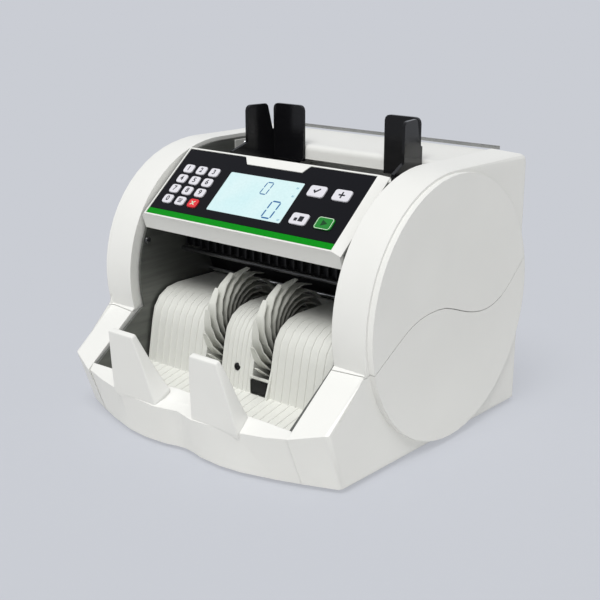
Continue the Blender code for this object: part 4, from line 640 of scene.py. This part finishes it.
def number_centre(index):
    """The middle of a key in the number field, counted from its top left."""
    row, column = divmod(index, 3)
    x = NUMBER_KEY_LEFT + column * NUMBER_KEY_PITCH[0]
    return x, NUMBER_KEY_TOP - row * NUMBER_KEY_PITCH[1]


def digit_legend(digit, centre, finish):
    """A printed digit, as a thin raised text on its key."""
    name = f"digit_{digit}"
    curve = bpy.data.curves.new(name, "FONT")
    curve.body = digit
    curve.size = DIGIT_HEIGHT
    curve.align_x = "CENTER"
    curve.align_y = "CENTER"
    curve.extrude = PRINT_LIFT
    curve.offset = DIGIT_HEIGHT * DIGIT_BOLDNESS
    curve.materials.append(finish)
    piece = new_object(name, curve)
    place = Matrix.Translation((*centre, KEY_TOP + PRINT_LIFT / 2))
    piece.matrix_world = panel_matrix() @ place
    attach(piece, f"key_{digit}_cap")


def key_sign(name, outlines, centre, finish, slot, body):
    """A printed sign made of flat outlines, on top of a key."""
    maker = bmesh.new()
    for outline in outlines:
        add_print(maker, moved(outline, *centre), KEY_TOP)
    finish_piece(maker, name, finish, body, panel_matrix())


def menu_bars():
    bar = rectangle(*MENU_BAR)
    return [moved(bar, 0, lift) for lift in (-MENU_BAR_PITCH, 0, MENU_BAR_PITCH)]


def cross_bars():
    reach, half = CROSS_REACH, CROSS_HALF_WIDTH
    slash = [(-reach - half, -reach), (half - reach, -reach)]
    slash += [(reach + half, reach), (reach - half, reach)]
    return [slash, [(-x, y) for x, y in slash][::-1]]


def plus_bars():
    return [rectangle(*PLUS_BAR), rectangle(*PLUS_BAR[::-1])]


def size_boxes():
    small = moved(rectangle(*SMALL_BOX), *SMALL_BOX_PLACE)
    return [small, moved(rectangle(*LARGE_BOX), *LARGE_BOX_PLACE)]


def start_rim(centre, finish):
    """The pale line printed round the start key's top."""
    width, height, radius = START_RIM
    outer = moved(rounded(width, height, radius), *centre)
    inner = rounded(width - 2 * RIM_LINE, height - 2 * RIM_LINE, radius - RIM_LINE)
    inner = moved(inner, *centre)
    low, high = KEY_TOP - PRINT_LIFT / 2, KEY_TOP + PRINT_LIFT
    maker = bmesh.new()
    rings = [
        [maker.verts.new((x, y, level)) for x, y in outline]
        for outline, level in ((outer, low), (inner, low), (inner, high), (outer, high))
    ]
    for first, second in zip(rings, rings[1:] + rings[:1]):
        wall(maker, first, second)
    finish_piece(maker, "start_rim", finish, "key_restart_cap", panel_matrix())


def key_legends():
    """Digits on the number keys and generic signs on the others."""
    dark = ink("legend_ink", (0.010, 0.011, 0.016))
    pale = ink("legend_pale", (0.62, 0.80, 0.60))
    deep = ink("legend_green", (0.0, 0.05, 0.006))
    for index, digit in enumerate("1234567890"):
        digit_legend(digit, number_centre(index), dark)
    left, right = FUNCTION_KEY_X
    low, high = FUNCTION_KEY_Y
    signs = (
        ("menu_sign", menu_bars(), number_centre(10), dark, "key_white", "key_mode_cap"),
        ("clear_sign", cross_bars(), number_centre(11), pale, "key_red", "key_clear_cap"),
        ("check_sign", [TICK], (left, high), dark, "key_white", "key_check_cap"),
        ("add_sign", plus_bars(), (right, high), dark, "key_white", "key_add_cap"),
        ("size_sign", size_boxes(), (left, low), dark, "key_white", "key_size_cap"),
        ("start_sign", [TRIANGLE], (right, low), deep, "key_green", "key_restart_cap"),
    )
    for sign in signs:
        key_sign(*sign)
    start_rim((right, low), pale)


def display_print():
    """Two zeros and the small marks at the display's right edge."""
    blue = ink("display_blue", (0.035, 0.14, 0.33))
    faint = ink("display_mark", (0.22, 0.42, 0.55))
    maker = bmesh.new()
    for zero in DISPLAY_ZEROS:
        for outline in segment_zero(**zero):
            add_print(maker, outline, DISPLAY_LEVEL)
    finish_piece(maker, "display_digits", blue, HOUSING, panel_matrix())
    maker = bmesh.new()
    stroke = slanted(rectangle(*MARK_STROKE), MARK_LEAN)
    for x, y in DISPLAY_MARKS:
        for step in (-1, 0, 1):
            add_print(maker, moved(stroke, x + step * MARK_PITCH, y), DISPLAY_LEVEL)
        add_print(maker, moved(rectangle(*MARK_LINE), x, y - MARK_LINE_DROP), DISPLAY_LEVEL)
    finish_piece(maker, "display_marks", faint, HOUSING, panel_matrix())


# Fittings


def block(name, corners, finish):
    """A bar with small rounded edges between two corners in the housing's frame."""
    low, high = corners
    width, depth = high[0] - low[0], high[1] - low[1]
    middle = (low[0] + high[0]) / 2, (low[1] + high[1]) / 2
    outline = moved(rounded(width, depth, BLOCK_EDGE, BLOCK_CORNER_STEPS), *middle)
    inner = width - BLOCK_EDGE, depth - BLOCK_EDGE, BLOCK_EDGE / 2
    inset = moved(rounded(*inner, BLOCK_CORNER_STEPS), *middle)
    layers = (
        (inset, low[2]),
        (outline, low[2] + BLOCK_EDGE / 2),
        (outline, high[2] - BLOCK_EDGE / 2),
        (inset, high[2]),
    )
    maker = bmesh.new()
    loft(maker, [[(x, y, z) for x, y in shape] for shape, z in layers])
    finish_piece(maker, name, finish, HOUSING, Matrix.Translation(spot(0, 0, 0)))


def cut_recess(head, radius, matrix):
    """Cuts the screw's cross at once, so that no cutter stays in the scene."""
    thin, long = radius * RECESS_HALF_WIDTH, radius * RECESS_REACH
    quarter = [(thin, long), (-thin, long), (-thin, thin)]
    cross = quarter + [(-y, x) for x, y in quarter]
    cross += [(-x, -y) for x, y in cross]
    maker = bmesh.new()
    add_plate(maker, cross, *RECESS_HEIGHTS)
    bmesh.ops.recalc_face_normals(maker, faces=maker.faces)
    name = head.name + "_recess"
    cutter = new_object(name, new_mesh(maker, name, matrix))
    head.modifiers.new("recess", "BOOLEAN").object = cutter
    bpy.context.view_layer.update()
    graph = bpy.context.evaluated_depsgraph_get()
    head.data = bpy.data.meshes.new_from_object(head.evaluated_get(graph))
    head.modifiers.clear()
    bpy.data.objects.remove(cutter)


def pan_screw(name, seat, out, radius, finish, node=None):
    """A domed screw head with a cross recess, on a seat in the housing's frame."""
    turn = Vector((0, 0, 1)).rotation_difference(Vector(out)).to_matrix().to_4x4()
    matrix = Matrix.Translation(spot(*seat)) @ turn
    angles = [2 * math.pi * index / SCREW_SEGMENTS for index in range(SCREW_SEGMENTS)]
    rings = []
    for height, share in SCREW_PROFILE:
        reach = radius * share
        rings.append([(reach * math.cos(a), reach * math.sin(a), height) for a in angles])
    maker = bmesh.new()
    loft(maker, rings)
    head = finish_piece(maker, name, finish, HOUSING, matrix)
    cut_recess(head, radius, matrix)
    head.data.shade_smooth()
    head.data.set_sharp_from_angle(angle=SCREW_SHARP_ANGLE)
    if node:
        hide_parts(node)


def fittings(finishes):
    """Stack sensor at the foot of the right slot, the hopper's bracket and baffle, and screws."""
    glossy, sheet = finishes["black_plastic"], finishes["frame_sheet"]
    block("stack_sensor_window", SENSOR_WINDOW, glossy)
    block("stack_sensor_frame_left", SENSOR_FRAME_LEFT, sheet)
    block("stack_sensor_frame_low", SENSOR_FRAME_LOW, sheet)
    block("hopper_bracket", HOPPER_BRACKET, finishes["zinc_plate"])
    steel, dull, dark = (finishes[name] for name in ("bright_metal", "dull_black", "black_steel"))
    right, left, front = (1, 0, 0), (-1, 0, 0), (0, -1, 0)
    pan_screw("bracket_screw", BRACKET_SCREW, right, BRACKET_SCREW_RADIUS, steel)
    block("hopper_baffle", HOPPER_BAFFLE, finishes["white_plastic"])
    screws = (
        ("stacker_cross_screw", STACKER_SCREW, front, SCREW_RADIUS, dull, "stacker_screw"),
        ("cross_screw_left", LEFT_FRAME_SCREW, right, SCREW_RADIUS, dark, "left_frame_screw"),
        ("cross_screw_right", RIGHT_FRAME_SCREW, left, SCREW_RADIUS, dark),
    )
    for screw in screws:
        pan_screw(*screw)


# Stage, lights and camera


def seen_directly(tree):
    """1 on rays from the camera, from glossy surfaces and through clear ones, else 0."""
    path = tree.nodes.new("ShaderNodeLightPath")
    total = path.outputs["Is Camera Ray"]
    for kind in ("Is Glossy Ray", "Is Transmission Ray"):
        either = tree.nodes.new("ShaderNodeMath")
        either.operation = "MAXIMUM"
        tree.links.new(total, either.inputs[0])
        tree.links.new(path.outputs[kind], either.inputs[1])
        total = either.outputs[0]
    return total


def stage_material():
    """Pale paper: its own glow evens it out where it is seen, and the object's shadow stays."""
    material = bpy.data.materials.new("studio_paper")
    material.use_nodes = True
    tree = material.node_tree
    tree.nodes.clear()
    output = tree.nodes.new("ShaderNodeOutputMaterial")
    table = tree.nodes.new("ShaderNodeBsdfDiffuse")
    table.inputs["Color"].default_value = TABLE_COLOUR
    paper = tree.nodes.new("ShaderNodeBsdfDiffuse")
    paper.inputs["Color"].default_value = FLOOR_COLOUR
    glow = tree.nodes.new("ShaderNodeEmission")
    glow.inputs["Color"].default_value = BACKDROP
    evened = tree.nodes.new("ShaderNodeMixShader")
    evened.inputs["Fac"].default_value = FLOOR_GLOW
    mix = tree.nodes.new("ShaderNodeMixShader")
    tree.links.new(paper.outputs["BSDF"], evened.inputs[1])
    tree.links.new(glow.outputs["Emission"], evened.inputs[2])
    tree.links.new(seen_directly(tree), mix.inputs["Fac"])
    tree.links.new(table.outputs["BSDF"], mix.inputs[1])
    tree.links.new(evened.outputs["Shader"], mix.inputs[2])
    tree.links.new(mix.outputs["Shader"], output.inputs["Surface"])
    return material


def floor():
    maker = bmesh.new()
    bmesh.ops.create_circle(maker, cap_ends=True, radius=FLOOR_RADIUS, segments=FLOOR_SIDES)
    made = new_object("studio_floor", new_mesh(maker, "studio_floor"))
    made.data.materials.append(stage_material())


def world():
    """An even light, which looks like the backdrop where it is seen."""
    made = bpy.data.worlds.new("studio")
    bpy.context.scene.world = made
    made.use_nodes = True
    tree = made.node_tree
    tree.nodes.clear()
    output = tree.nodes.new("ShaderNodeOutputWorld")
    light = tree.nodes.new("ShaderNodeBackground")
    light.inputs["Color"].default_value = WORLD_COLOUR
    light.inputs["Strength"].default_value = WORLD_STRENGTH
    seen = tree.nodes.new("ShaderNodeBackground")
    seen.inputs["Color"].default_value = BACKDROP
    seen.inputs["Strength"].default_value = 1.0
    mix = tree.nodes.new("ShaderNodeMixShader")
    tree.links.new(seen_directly(tree), mix.inputs["Fac"])
    tree.links.new(light.outputs["Background"], mix.inputs[1])
    tree.links.new(seen.outputs["Background"], mix.inputs[2])
    tree.links.new(mix.outputs["Shader"], output.inputs["Surface"])


def lights():
    data = bpy.data.lights.new("soft_sun", "SUN")
    data.energy = SUN_STRENGTH
    data.angle = SUN_ANGLE
    data.color = SUN_COLOUR
    made = new_object("soft_sun", data)
    made.location = SUN_DIRECTION
    made.rotation_euler = Vector(SUN_DIRECTION).to_track_quat("Z", "Y").to_euler()


def camera():
    data = bpy.data.cameras.new("camera")
    data.lens = CAMERA_LENS
    data.sensor_width = CAMERA_SENSOR
    data.clip_start = CAMERA_NEAR
    made = new_object("camera", data)
    made.location = spot(*CAMERA_PLACE)
    made.rotation_euler = CAMERA_TURN
    bpy.context.scene.camera = made


def main():
    camera()
    floor()
    world()
    lights()
    finishes = make_finishes()
    paint_nodes(finishes)
    smooth_nodes()
    key_legends()
    display_print()
    fittings(finishes)
    bpy.context.scene.view_settings.view_transform = "Standard"


main()
